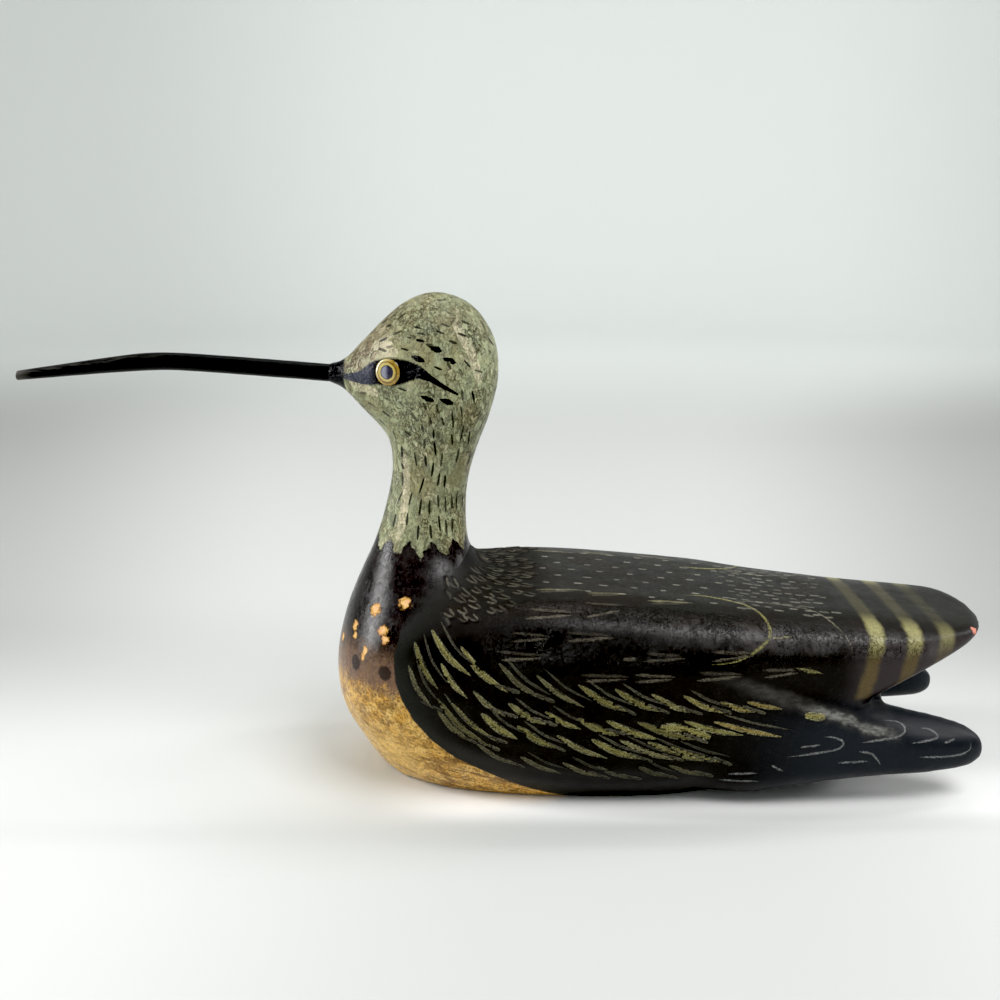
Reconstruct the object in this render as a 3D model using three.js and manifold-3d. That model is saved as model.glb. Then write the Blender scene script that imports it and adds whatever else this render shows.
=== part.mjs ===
// A painted wooden curlew decoy. Body, neck, head, tail and folded wing tips are one carving;
// the long bill is a rod let into the face, and the two eyes are domes let into the head.
// Millimetres, +Z up. The bill points along -X, the bird's left side is -Y, and the origin
// lies on the flat underside, in the middle plane, below the nape.
import * as THREE from "three";
import { mergeVertices } from "three/addons/utils/BufferGeometryUtils.js";
import Module from "manifold-3d";

const wasm = await Module();
wasm.setup();

// Driving sizes of the carving
const CARVING_LENGTH = 320; // breast to tail tip
const CARVING_HEIGHT = 242; // underside to crown
const CARVING_WIDTH = 117; // across the folded wings

// Driving sizes of the bill
const BILL_REACH = 153.5; // face to tip
const BILL_DIAMETER = 8.6;
const BILL_TIP_THICKNESS = 4.6;
const BILL_TIP_WIDTH = 6.4;
const BILL_CREST = 7; // rise of the bend above the face
const BILL_DROP = 8; // fall from the bend to the tip
const BILL_SEAT = 25; // length inside the head
const COLLAR_WALL = 0.9; // wood left around the bill at the face

// Driving sizes of the eyes
const EYE_DIAMETER = 12.8;
const EYE_SEAT = 3; // depth below its rim
const EYE_DOME = 1.5; // crown above its rim
const EYE_INSET = 0.5; // rim below the cheek

// Gap between a piece and the recess that it is let into
const FIT = 0.3;

// Fineness of the facets
const SIDES = 32; // around the carving
const WING_SIDES = 20;
const BILL_SIDES = 14;
const BILL_STEPS = 22;
const EYE_SIDES = 24;
const RINGS_PER_STATION = 3;
const WING_RINGS_PER_STATION = 2;

// The outline is drawn for a carving of this length, height and width, and follows the driving sizes.
const DRAWN = { length: 320, height: 242, width: 117 };
const along = (x) => (x * CARVING_LENGTH) / DRAWN.length;
const up = (z) => (z * CARVING_HEIGHT) / DRAWN.height;
const across = (y) => (y * CARVING_WIDTH) / DRAWN.width;

// The face is a small disc around the bill.
const FACE = { x: -77.3, z: 203 };
const FACE_RADIUS = BILL_DIAMETER / 2 + FIT + COLLAR_WALL;

// Stations of the carving from behind the face, over head, neck, breast and back, to the tail.
// top and low are the ends of a slice in the middle plane, half is its half width, waist is the
// share of the slice above its widest place, and crown and keel say how square its two halves are.
const STATIONS = [
  { top: [-72.4, 211.4], low: [-73, 194.4], half: 8.6, waist: 0.5, crown: 2, keel: 2 }, // brow
  { top: [-63.5, 220.4], low: [-66.8, 187.4], half: 13.4, waist: 0.5, crown: 2, keel: 2 },
  { top: [-53.5, 230.4], low: [-59.8, 180], half: 18.1, waist: 0.5, crown: 2, keel: 2 }, // eyes
  { top: [-42.5, 238.4], low: [-54.8, 173.4], half: 21.4, waist: 0.48, crown: 2, keel: 2 },
  { top: [-28.5, 241.7], low: [-52.8, 167.2], half: 23, waist: 0.46, crown: 2, keel: 2 }, // crown
  { top: [-13, 235.4], low: [-52.4, 161], half: 23, waist: 0.46, crown: 2, keel: 2 },
  { top: [-2.8, 220.5], low: [-52.6, 155], half: 22, waist: 0.47, crown: 2, keel: 2 },
  { top: [-0.7, 203], low: [-53.4, 149.5], half: 20.5, waist: 0.48, crown: 2, keel: 2 },
  { top: [-4.5, 185], low: [-54.5, 144], half: 19.2, waist: 0.5, crown: 2, keel: 2 }, // nape
  { top: [-11, 168], low: [-55.8, 139], half: 18.4, waist: 0.5, crown: 2, keel: 2 },
  { top: [-15.3, 153], low: [-57.4, 133], half: 18.3, waist: 0.5, crown: 2, keel: 2 },
  { top: [-16.7, 138], low: [-59.7, 126], half: 19, waist: 0.5, crown: 2, keel: 2 }, // neck
  { top: [-16.3, 124], low: [-63.8, 115.5], half: 22.5, waist: 0.5, crown: 2.1, keel: 2 },
  { top: [-13.6, 113.5], low: [-70, 102], half: 30, waist: 0.5, crown: 2.4, keel: 2 },
  { top: [-8, 107], low: [-77, 84], half: 40, waist: 0.5, crown: 3, keel: 2 }, // shoulders
  { top: [-1, 105], low: [-81.8, 62], half: 48, waist: 0.5, crown: 3.8, keel: 2 },
  { top: [8, 104.7], low: [-80.6, 39], half: 53, waist: 0.5, crown: 4.4, keel: 1.85 }, // breast
  { top: [19, 104.5], low: [-71.5, 18], half: 56, waist: 0.48, crown: 4.8, keel: 1.7 },
  { top: [32, 104], low: [-54, -4], half: 57.8, waist: 0.46, crown: 5, keel: 1.7 },
  { top: [46, 103], low: [-24, -12], half: 58.5, waist: 0.44, crown: 5, keel: 2 },
  { top: [62, 101.6], low: [20, -12], half: 58.5, waist: 0.44, crown: 5, keel: 2.4 }, // wings
  { top: [82, 99.6], low: [62, -12], half: 58.5, waist: 0.44, crown: 5, keel: 2.45 },
  { top: [104, 97.2], low: [99, -5], half: 57.5, waist: 0.44, crown: 5, keel: 2.8 },
  { top: [127, 94.5], low: [126, 2], half: 54.3, waist: 0.45, crown: 4.6, keel: 3.5 },
  { top: [150, 92.2], low: [151, 18], half: 49.6, waist: 0.47, crown: 4.3, keel: 3.6 }, // rump
  { top: [172, 90], low: [173, 43], half: 46, waist: 0.5, crown: 4, keel: 4 },
  { top: [190, 88], low: [190, 56], half: 43.7, waist: 0.52, crown: 4, keel: 4.5 }, // tail
  { top: [206, 86.4], low: [205, 65], half: 41, waist: 0.54, crown: 4, keel: 4.5 },
  { top: [219, 85.2], low: [218, 72], half: 36.8, waist: 0.54, crown: 4, keel: 4 },
  { top: [228, 84.6], low: [227.6, 77], half: 31, waist: 0.5, crown: 3.5, keel: 3.5 },
  { top: [234, 84], low: [233.7, 79], half: 20.8, waist: 0.5, crown: 3, keel: 3 },
  { top: [237, 83.2], low: [237, 80], half: 10, waist: 0.5, crown: 2.5, keel: 2.5 }, // tail tip
];

// Stations of one folded wing tip: place along the bird, middle (out from the middle plane, and
// up), half width, half height, and how steeply its inner side is tilted up.
const WING_STATIONS = [
  { x: 60, y: 34, z: 38, wide: 11, high: 20, tilt: 0 },
  { x: 88, y: 36, z: 39, wide: 15.5, high: 31, tilt: 0.05 },
  { x: 114, y: 37.7, z: 38.5, wide: 17.4, high: 35.2, tilt: 0.06 },
  { x: 137, y: 38.3, z: 37.9, wide: 17.3, high: 31, tilt: 0.1 },
  { x: 157, y: 38, z: 36, wide: 16.2, high: 24.5, tilt: 0.18 },
  { x: 175, y: 38, z: 32.8, wide: 14.2, high: 18.2, tilt: 0.27 },
  { x: 190, y: 38, z: 30, wide: 12.5, high: 13.8, tilt: 0.34 },
  { x: 206, y: 38.2, z: 28.5, wide: 10.8, high: 11.2, tilt: 0.38 },
  { x: 219, y: 38.6, z: 27.7, wide: 8.6, high: 9.6, tilt: 0.34 },
  { x: 228, y: 39, z: 27, wide: 6.4, high: 7.6, tilt: 0.28 },
  { x: 233.8, y: 39.4, z: 26.5, wide: 3, high: 3.5, tilt: 0.2 },
];

// How square the slices of the wing tips and of the rump's lower part are
const WING_SQUARENESS = 2.8;
const STERN_SQUARENESS = 4;

// The rump's lower part fills the space between the wing tips as far as a wall under the tail.
const STERN_STATIONS = [
  { x: 80, z: 40, wide: 34, high: 34 },
  { x: 110, z: 39, wide: 36, high: 33 },
  { x: 140, z: 38.5, wide: 36, high: 29.5 },
  { x: 165, z: 38.5, wide: 35, high: 26.5 },
  { x: 183, z: 39, wide: 33, high: 24 },
  { x: 187, z: 39.5, wide: 29, high: 21 },
];

// Catmull-Rom value between four neighbouring numbers
function curveValue(before, from, to, after, share) {
  const start = (to - before) / 2;
  const end = (after - from) / 2;
  const square = share * share;
  const cube = square * share;
  return (
    from * (2 * cube - 3 * square + 1) +
    start * (cube - 2 * square + share) +
    to * (3 * square - 2 * cube) +
    end * (cube - square)
  );
}

// The station at a place between listed stations; position 2.5 is halfway from the third to the fourth.
function stationAt(stations, position) {
  const last = stations.length - 1;
  const first = Math.min(Math.floor(position), last - 1);
  const neighbours = [first - 1, first, first + 1, first + 2].map((index) =>
    stations[THREE.MathUtils.clamp(index, 0, last)]
  );
  const mix = (read) => curveValue(...neighbours.map(read), position - first);
  const station = {};
  for (const [name, value] of Object.entries(neighbours[1])) {
    station[name] = Array.isArray(value)
      ? value.map((_, index) => mix((neighbour) => neighbour[name][index]))
      : mix((neighbour) => neighbour[name]);
  }
  return station;
}

// Point of a superellipse of unit size, with the given squareness
function roundedSquare(angle, squareness) {
  const power = 2 / squareness;
  const curved = (value) => Math.sign(value) * Math.abs(value) ** power;
  return [curved(Math.cos(angle)), curved(Math.sin(angle))];
}

// Closed solid through rings of points, with both ends capped
function loft(rings) {
  const sides = rings[0].length;
  const positions = [];
  const triangle = (a, b, c) => positions.push(...a.toArray(), ...b.toArray(), ...c.toArray());
  for (let ring = 0; ring < rings.length - 1; ring++) {
    for (let side = 0; side < sides; side++) {
      const next = (side + 1) % sides;
      triangle(rings[ring][side], rings[ring][next], rings[ring + 1][side]);
      triangle(rings[ring][next], rings[ring + 1][next], rings[ring + 1][side]);
    }
  }
  const middle = (ring) =>
    ring.reduce((sum, point) => sum.add(point), new THREE.Vector3()).divideScalar(sides);
  const front = middle(rings[0]);
  const back = middle(rings.at(-1));
  for (let side = 0; side < sides; side++) {
    const next = (side + 1) % sides;
    triangle(front, rings[0][next], rings[0][side]);
    triangle(back, rings.at(-1)[side], rings.at(-1)[next]);
  }
  const geometry = new THREE.BufferGeometry();
  geometry.setAttribute("position", new THREE.Float32BufferAttribute(positions, 3));
  return geometry;
}

// Geometry to solid, with its shared corners merged
const SAME_CORNER = 1e-4;
function toSolid(geometry) {
  const bare = geometry.clone();
  bare.deleteAttribute("normal");
  bare.deleteAttribute("uv");
  const merged = mergeVertices(bare, SAME_CORNER);
  return new wasm.Manifold(
    new wasm.Mesh({
      numProp: 3,
      vertProperties: new Float32Array(merged.attributes.position.array),
      triVerts: new Uint32Array(merged.index.array),
    })
  );
}

// Solid back to geometry
function toGeometry(solid) {
  const mesh = solid.getMesh();
  const geometry = new THREE.BufferGeometry();
  geometry.setAttribute("position", new THREE.BufferAttribute(mesh.vertProperties, 3));
  geometry.setIndex(new THREE.BufferAttribute(mesh.triVerts, 1));
  return geometry;
}

// Point on the carving's main form, at a place along its stations and an angle from the top
function formPoint(position, angle) {
  const { top, low, half, waist, crown, keel } = stationAt(MAIN_STATIONS, position);
  const upper = Math.cos(angle) > 0;
  const [down, out] = roundedSquare(angle, upper ? crown : keel);
  const share = upper ? waist - waist * down : waist - (1 - waist) * down;
  return new THREE.Vector3(
    along(THREE.MathUtils.lerp(top[0], low[0], share)),
    across(half * out),
    up(THREE.MathUtils.lerp(top[1], low[1], share))
  );
}

// The disc around the bill, as the first station of the main form
const MAIN_STATIONS = [
  {
    top: [FACE.x, FACE.z + (FACE_RADIUS * DRAWN.height) / CARVING_HEIGHT],
    low: [FACE.x, FACE.z - (FACE_RADIUS * DRAWN.height) / CARVING_HEIGHT],
    half: (FACE_RADIUS * DRAWN.width) / CARVING_WIDTH,
    waist: 0.5,
    crown: 2,
    keel: 2,
  },
  ...STATIONS,
];

// Head, neck, breast, back and tail
function mainForm() {
  const rings = [];
  const steps = (MAIN_STATIONS.length - 1) * RINGS_PER_STATION;
  for (let step = 0; step <= steps; step++) {
    const ring = [];
    for (let side = 0; side < SIDES; side++) {
      ring.push(formPoint(step / RINGS_PER_STATION, (-2 * Math.PI * side) / SIDES));
    }
    rings.push(ring);
  }
  return toSolid(loft(rings));
}

// A form whose slices stand square to the length, such as a wing tip
function straightForm(stations, squareness, sides, sideSign) {
  const rings = [];
  const steps = (stations.length - 1) * WING_RINGS_PER_STATION;
  for (let step = 0; step <= steps; step++) {
    const { x, y = 0, z, wide, high, tilt = 0 } = stationAt(
      stations,
      step / WING_RINGS_PER_STATION
    );
    const ring = [];
    for (let side = 0; side < sides; side++) {
      const [rise, turn] = roundedSquare((-2 * Math.PI * side) / sides, squareness);
      const outward = wide * turn * sideSign;
      const height = z + high * rise - tilt * outward;
      ring.push(new THREE.Vector3(along(x), across((y + outward) * sideSign), up(height)));
    }
    rings.push(ring);
  }
  return toSolid(loft(rings));
}

// The bill's line: two nearly straight legs that meet in a soft bend. s runs from the face to the tip.
const BEND_PLACE = 0.56; // share of the reach
const BEND_SOFTNESS = 13;
const TAPER_PLACE = 0.62; // share of the reach where the bill starts to thin
function billHeight(s) {
  const bend = BEND_PLACE * BILL_REACH;
  const rising = BILL_CREST / bend;
  const falling = BILL_DROP / (BILL_REACH - bend);
  const mean = (rising + falling) / 2;
  const hook = (distance) => mean * Math.hypot(distance, BEND_SOFTNESS) + ((falling - rising) / 2) * distance;
  return hook(-bend) - hook(s - bend);
}

// Middle of the bill's section at a distance from the face
function billMiddle(s) {
  return new THREE.Vector3(along(FACE.x) - s, 0, up(FACE.z) + billHeight(s));
}

// One upright slice of the bill at a distance from the face, or inside the head where s is below 0
function billSlice(s, clearance) {
  const seatSlope = billHeight(1) - billHeight(0);
  const middle = s < 0 ? billMiddle(0).add(new THREE.Vector3(-s, 0, seatSlope * s)) : billMiddle(s);
  const taperStart = TAPER_PLACE * BILL_REACH;
  const taper = THREE.MathUtils.clamp((s - taperStart) / (BILL_REACH - taperStart), 0, 1);
  const high = THREE.MathUtils.lerp(BILL_DIAMETER, BILL_TIP_THICKNESS, taper) / 2 + clearance;
  const wide = THREE.MathUtils.lerp(BILL_DIAMETER, BILL_TIP_WIDTH, taper) / 2 + clearance;
  const slice = [];
  for (let side = 0; side < BILL_SIDES; side++) {
    const angle = (2 * Math.PI * side) / BILL_SIDES;
    slice.push(middle.clone().add(new THREE.Vector3(0, wide * Math.sin(angle), high * Math.cos(angle))));
  }
  return slice;
}

// The bill, from its end in the head to its square-cut tip
function billForm() {
  const slices = [billSlice(-BILL_SEAT, 0)];
  for (let step = 0; step <= BILL_STEPS; step++) {
    slices.push(billSlice((step * BILL_REACH) / BILL_STEPS, 0));
  }
  return loft(slices);
}

// The bore that the bill sits in, with the same gap all round and at its end
function billSocket() {
  const mouth = BILL_DIAMETER / 2;
  return toSolid(loft([-BILL_SEAT - FIT, 0, mouth].map((s) => billSlice(s, FIT))));
}

// Where the eyes sit on the head: the place along the stations and the angle from the crown
const EYE_STATION = 3.55;
const EYE_ANGLE = 1.54;

// Turns and moves a piece made along +Z so that it stands on the cheek, +Z out of the head
function eyePlacing(sideSign) {
  const step = 0.02;
  const place = formPoint(EYE_STATION, EYE_ANGLE);
  const forward = formPoint(EYE_STATION + step, EYE_ANGLE).sub(place);
  const round = formPoint(EYE_STATION, EYE_ANGLE + step).sub(place);
  const outward = forward.cross(round).normalize();
  if (outward.y < 0) {
    outward.negate();
  }
  place.addScaledVector(outward, -EYE_INSET);
  place.y *= sideSign;
  outward.y *= sideSign;
  const turn = new THREE.Quaternion().setFromUnitVectors(new THREE.Vector3(0, 0, 1), outward);
  return new THREE.Matrix4().compose(place, turn, new THREE.Vector3(1, 1, 1));
}

// A shallow glass dome, its rim in the XY plane and its seat below
function eyeForm() {
  const radius = EYE_DIAMETER / 2;
  const domeSteps = 5;
  const profile = [new THREE.Vector2(0, -EYE_SEAT), new THREE.Vector2(radius, -EYE_SEAT)];
  for (let step = 0; step <= domeSteps; step++) {
    const angle = (step / domeSteps) * (Math.PI / 2);
    profile.push(new THREE.Vector2(radius * Math.cos(angle), EYE_DOME * Math.sin(angle)));
  }
  profile[profile.length - 1].x = 0;
  const dome = new THREE.LatheGeometry(profile, EYE_SIDES);
  dome.rotateX(Math.PI / 2);
  return dome;
}

// The pocket for an eye
function eyeSocket(sideSign) {
  const radius = EYE_DIAMETER / 2 + FIT;
  const outside = EYE_DIAMETER / 2;
  const depth = EYE_SEAT + FIT;
  const pocket = new THREE.CylinderGeometry(radius, radius, depth + outside, EYE_SIDES);
  pocket.rotateX(Math.PI / 2);
  pocket.translate(0, 0, (outside - depth) / 2);
  pocket.applyMatrix4(eyePlacing(sideSign));
  return toSolid(pocket);
}

// The carving, joined from its forms, sawn flat below and bored for bill and eyes
function carvingForm() {
  const sawn = new THREE.BoxGeometry(2 * CARVING_LENGTH, 2 * CARVING_WIDTH, CARVING_HEIGHT);
  sawn.translate(0, 0, -CARVING_HEIGHT / 2);
  let carving = mainForm().add(straightForm(STERN_STATIONS, STERN_SQUARENESS, WING_SIDES, 1));
  for (const sideSign of [-1, 1]) {
    carving = carving.add(straightForm(WING_STATIONS, WING_SQUARENESS, WING_SIDES, sideSign));
  }
  carving = carving.subtract(toSolid(sawn)).subtract(billSocket());
  for (const sideSign of [-1, 1]) {
    carving = carving.subtract(eyeSocket(sideSign));
  }
  return toGeometry(carving);
}

// A named piece with its own paint
function piece(name, geometry, color, roughness) {
  const mesh = new THREE.Mesh(geometry, new THREE.MeshStandardMaterial({ color, roughness, metalness: 0 }));
  mesh.name = name;
  return mesh;
}

const decoy = new THREE.Group();
decoy.add(piece("carving", carvingForm(), 0x3a3026, 0.45));
decoy.add(piece("bill", billForm(), 0x14140f, 0.3));
for (const [name, sideSign] of [["eye_left", -1], ["eye_right", 1]]) {
  const eye = piece(name, eyeForm(), 0xb8962a, 0.1);
  eye.applyMatrix4(eyePlacing(sideSign));
  decoy.add(eye);
}

export default decoy;
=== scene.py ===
import functools
import math
import random
from contextlib import contextmanager

import bpy
import numpy as np
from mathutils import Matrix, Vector, noise
from mathutils.bvhtree import BVHTree
from mathutils.kdtree import KDTree


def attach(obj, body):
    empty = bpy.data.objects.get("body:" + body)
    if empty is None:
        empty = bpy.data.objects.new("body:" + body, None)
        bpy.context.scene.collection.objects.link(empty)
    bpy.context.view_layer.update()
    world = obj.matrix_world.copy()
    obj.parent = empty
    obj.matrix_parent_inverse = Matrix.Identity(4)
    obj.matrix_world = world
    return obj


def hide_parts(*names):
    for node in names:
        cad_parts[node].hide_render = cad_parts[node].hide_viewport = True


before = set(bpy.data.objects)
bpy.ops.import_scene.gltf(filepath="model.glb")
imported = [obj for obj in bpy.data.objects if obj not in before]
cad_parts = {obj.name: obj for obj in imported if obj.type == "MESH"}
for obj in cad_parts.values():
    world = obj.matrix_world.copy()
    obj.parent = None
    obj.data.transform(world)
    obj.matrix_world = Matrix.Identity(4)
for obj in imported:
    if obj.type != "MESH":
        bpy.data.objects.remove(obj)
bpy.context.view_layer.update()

# Sizes in this script are in millimetres, and MM turns them into Blender's metres.
# +X is towards the tail, -Y is the bird's left side, and the table is at Z = 0.
MM = 0.001
LEFT = -1
RIGHT = 1
SIDES = (LEFT, RIGHT)


# Camera, light and floor

# The photograph's view: from the bird's left, a little above, 1000 pixels wide
PICTURE_PIXELS = 1000
FOCAL_PIXELS = 1300
CAMERA_BACK = 613.9
CAMERA_HEIGHT = 317.05
CAMERA_DOWN = math.radians(16.09)
# The photograph shows the darkest paint as full black
BLACK_POINT = 0.024

# Each light's place and size in metres, its power, and the place that it faces
BIRD = (0, 0, 0.08)
SOFTBOXES = {
    "main softbox": ((0.65, -0.65, 1.5), (0.9, 0.7), 17, BIRD),
    "overhead softbox": ((0, 0.1, 1.9), (2.0, 1.8), 2, BIRD),
    "left strip": ((-1.1, 0.0, 0.5), (0.07, 0.8), 10, BIRD),
    "right strip": ((0.95, 0.25, 0.75), (0.15, 0.6), 3, BIRD),
    "backdrop light": ((0.1, 0.7, 2.1), (1.6, 0.4), 17, (0.1, 2.1, 0.8)),
}
STUDIO_COLOUR = (0.86, 0.9, 0.89, 1)
STUDIO_STRENGTH = 0.47


def add_camera():
    data = bpy.data.cameras.new("camera")
    data.sensor_width = 36
    data.lens = data.sensor_width * FOCAL_PIXELS / PICTURE_PIXELS
    camera = bpy.data.objects.new("camera", data)
    camera.location = (0, -CAMERA_BACK * MM, CAMERA_HEIGHT * MM)
    camera.rotation_euler = (math.pi / 2 - CAMERA_DOWN, 0, 0)
    bpy.context.scene.collection.objects.link(camera)
    bpy.context.scene.camera = camera


def add_lights():
    for name, (place, (wide, high), power, aim) in SOFTBOXES.items():
        data = bpy.data.lights.new(name, "AREA")
        data.shape = "RECTANGLE"
        data.size = wide
        data.size_y = high
        data.energy = power
        light = bpy.data.objects.new(name, data)
        light.location = place
        light.rotation_euler = (Vector(aim) - Vector(place)).to_track_quat("-Z", "Y").to_euler()
        bpy.context.scene.collection.objects.link(light)
    world = bpy.data.worlds.new("studio")
    world.use_nodes = True
    background = world.node_tree.nodes["Background"]
    background.inputs["Color"].default_value = STUDIO_COLOUR
    background.inputs["Strength"].default_value = STUDIO_STRENGTH
    bpy.context.scene.world = world
    view = bpy.context.scene.view_settings
    view.view_transform = "Standard"
    view.use_curve_mapping = True
    view.curve_mapping.black_level = (BLACK_POINT, BLACK_POINT, BLACK_POINT)


# The floor and its walls, in metres. In front, the walls are open above OPEN_HEIGHT.
FLOOR_RADIUS = 1.5
FLOOR_SIDES = 64
FLOOR_BEND = 0.6
FLOOR_BEND_STEPS = 10
WALL_TOP = 2.4
OPEN_HEIGHT = 0.3
OPEN_FRONT = -1.1


def add_floor():
    """A pale floor that curves up into a wall behind and beside the bird, and stays open in front."""
    profile = [(FLOOR_RADIUS, 0)]
    for step in range(1, FLOOR_BEND_STEPS + 1):
        angle = step / FLOOR_BEND_STEPS * math.pi / 2
        profile.append((FLOOR_RADIUS + FLOOR_BEND * math.sin(angle), FLOOR_BEND * (1 - math.cos(angle))))
    profile.append((FLOOR_RADIUS + FLOOR_BEND, WALL_TOP))
    bpy.ops.object.select_all(action="DESELECT")
    bpy.ops.mesh.primitive_circle_add(vertices=FLOOR_SIDES, radius=FLOOR_RADIUS)
    floor = bpy.context.object
    floor.name = "floor"
    with editing():
        for (before, low), (after, high) in zip(profile, profile[1:]):
            bpy.ops.mesh.extrude_edges_move(TRANSFORM_OT_translate={"value": (0, 0, high - low)})
            bpy.ops.transform.resize(value=(after / before, after / before, 1), center_override=(0, 0, high))
        bpy.ops.mesh.select_all(action="DESELECT")
    for point in floor.data.vertices:
        point.select = point.co.z < MM
    with editing():
        bpy.ops.mesh.edge_face_add()
        bpy.ops.mesh.select_all(action="SELECT")
        bpy.ops.mesh.normals_make_consistent(inside=True)
        bpy.ops.mesh.select_all(action="DESELECT")
    for face in floor.data.polygons:
        face.select = face.center.z > OPEN_HEIGHT and face.center.y < OPEN_FRONT
    with editing():
        bpy.ops.mesh.delete(type="FACE")
    bpy.ops.object.shade_smooth_by_angle(angle=math.radians(30))
    floor.data.materials.append(paper_material())


# Shapes

MERGE_DISTANCE = 0.01
# Edges sharper than this stay sharp
SHARP_EDGE = math.radians(50)


@contextmanager
def editing():
    """Edit mode for the selected piece, and object mode again at the end."""
    bpy.ops.object.mode_set(mode="EDIT")
    yield
    bpy.ops.object.mode_set(mode="OBJECT")


def select_only(*objects):
    bpy.ops.object.select_all(action="DESELECT")
    for item in objects:
        item.select_set(True)
    bpy.context.view_layer.objects.active = objects[0]


def read(items, name, width=1, kind=float):
    """One property of many points, faces or corners, as an array."""
    values = np.empty(len(items) * width, dtype=kind)
    items.foreach_get(name, values)
    return values.reshape(-1, width) if width > 1 else values


def read_points(mesh):
    return read(mesh.vertices, "co", 3)


def write_points(mesh, points):
    mesh.vertices.foreach_set("co", points.ravel())
    mesh.update()


def store(piece, name, values, domain="POINT"):
    """Keeps one value for each point or face, for the materials to read."""
    piece.data.attributes.new(name, "FLOAT", domain).data.foreach_set("value", values)


def grow_tree(points):
    tree = KDTree(len(points))
    for index, point in enumerate(points):
        tree.insert(point, index)
    tree.balance()
    return tree


def smooth_step(value, start, end):
    """0 at start and 1 at end, smooth between; start may be above end."""
    share = np.clip((value - start) / (end - start), 0, 1)
    return share * share * (3 - 2 * share)


def smooth_row(rows, place):
    """Catmull-Rom value between the rows of a table."""
    first = min(int(place), len(rows) - 2)
    share = place - first
    before, start, end, after = (rows[min(max(first + step, 0), len(rows) - 1)] for step in (-1, 0, 1, 2))
    return (
        start
        + 0.5 * share * (end - before)
        + share**2 * (before - 2.5 * start + 2 * end - 0.5 * after)
        + share**3 * (1.5 * (start - end) + 0.5 * (after - before))
    )


def node_copy(name, new_name):
    """A merged copy of a CAD node's mesh, as a new object."""
    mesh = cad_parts[name].data.copy()
    mesh.name = new_name
    mesh.materials.clear()
    piece = bpy.data.objects.new(new_name, mesh)
    bpy.context.scene.collection.objects.link(piece)
    select_only(piece)
    with editing():
        bpy.ops.mesh.select_all(action="SELECT")
        bpy.ops.mesh.remove_doubles(threshold=MERGE_DISTANCE * MM)
    return piece


def apply_modifier(piece, kind, **settings):
    select_only(piece)
    modifier = piece.modifiers.new(kind.lower(), kind)
    for name, value in settings.items():
        setattr(modifier, name, value)
    bpy.ops.object.modifier_apply(modifier=modifier.name)


# The eye's seat below its rim and its dome above it, as in the CAD model
EYE_SEAT = 3
EYE_DOME = 1.5


def eye_axis(name):
    """Middle of an eye's rim, the direction out of the head, and its radius in metres."""
    points = read_points(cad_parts[name].data)
    middle = (points.min(axis=0) + points.max(axis=0)) / 2
    outward = np.linalg.eigh(np.cov((points - middle).T))[1][:, 0]
    if outward[1] * middle[1] < 0:
        outward = -outward
    heights = (points - middle) @ outward
    seat, crown = heights.min(), heights.max()
    rim = seat + (crown - seat) * EYE_SEAT / (EYE_SEAT + EYE_DOME)
    sideways = (points - middle) - np.outer(heights, outward)
    centre = middle + sideways.mean(axis=0)
    radius = np.linalg.norm(sideways - sideways.mean(axis=0), axis=1).max()
    return Vector(centre + outward * rim), Vector(outward), radius


# Plugs fill the eye pockets and the bill's bore before the carving gets its new skin
EYE_PLUG_GROWTH = 0.6
PLUG_SIDES = 48
BILL_PLUG_RADIUS = 5.2
BILL_PLUG_DEPTH = 27
COLLAR_LENGTH = 5.2
COLLAR_TIP_RADIUS = 4.5
# Where the bill leaves the face, and how much it rises there
FACE_X = -77.3
BILL_RISE = 0.09

# The new skin: the size of its grid, and how often it is sanded
VOXEL = 1.48
SANDINGS = 114
# The root of each wing tip is blended into the side, between these places along X, out from the middle and up
ROOT_SANDINGS = 43
ROOT_FRONT = (78, 105)
ROOT_BACK = (168, 135)
ROOT_SIDE = (34, 42)
ROOT_TOP = (86, 74)
# A hand-carved surface is never quite even: length and height of its waves and ripples, none at the face
WAVE_LENGTH = 34
WAVE_HEIGHT = 0.28
RIPPLE_LENGTH = 11
RIPPLE_HEIGHT = 0.07
RIPPLE_SHIFT = Vector((5, 5, 5))
EVEN_FACE = (-76, -62)
# The box round the nape where the skin is finer, for the chevrons
FINE_LOW = (-30, -56, 76)
FINE_HIGH = (32, 56, 112)


def add_plug(place, direction, depth, wide, narrow):
    """A round plug from place backwards along direction, wide at its back and narrow at its front."""
    bpy.ops.mesh.primitive_cone_add(
        vertices=PLUG_SIDES,
        radius1=wide * MM,
        radius2=narrow * MM,
        depth=depth * MM,
        location=place - direction * (depth * MM) / 2,
        rotation=direction.to_track_quat("Z", "Y").to_euler(),
    )
    return bpy.context.object


def add_plugs():
    plugs = []
    for name in ("eye_left", "eye_right"):
        rim, outward, radius = eye_axis(name)
        wide = radius / MM + EYE_PLUG_GROWTH
        plugs.append(add_plug(rim, outward, EYE_SEAT + 1, wide, wide))
    bill_points = read_points(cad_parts["bill"].data)
    at_face = bill_points[np.abs(bill_points[:, 0] - FACE_X * MM) < MM]
    face_point = Vector((FACE_X * MM, 0, at_face[:, 2].mean()))
    forward = Vector((-1, 0, BILL_RISE)).normalized()
    bore = face_point - forward * MM
    plugs.append(add_plug(bore, forward, BILL_PLUG_DEPTH, BILL_PLUG_RADIUS, BILL_PLUG_RADIUS))
    collar = face_point + forward * COLLAR_LENGTH * MM
    plugs.append(add_plug(collar, forward, COLLAR_LENGTH + 2, BILL_PLUG_RADIUS, COLLAR_TIP_RADIUS))
    return plugs


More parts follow.
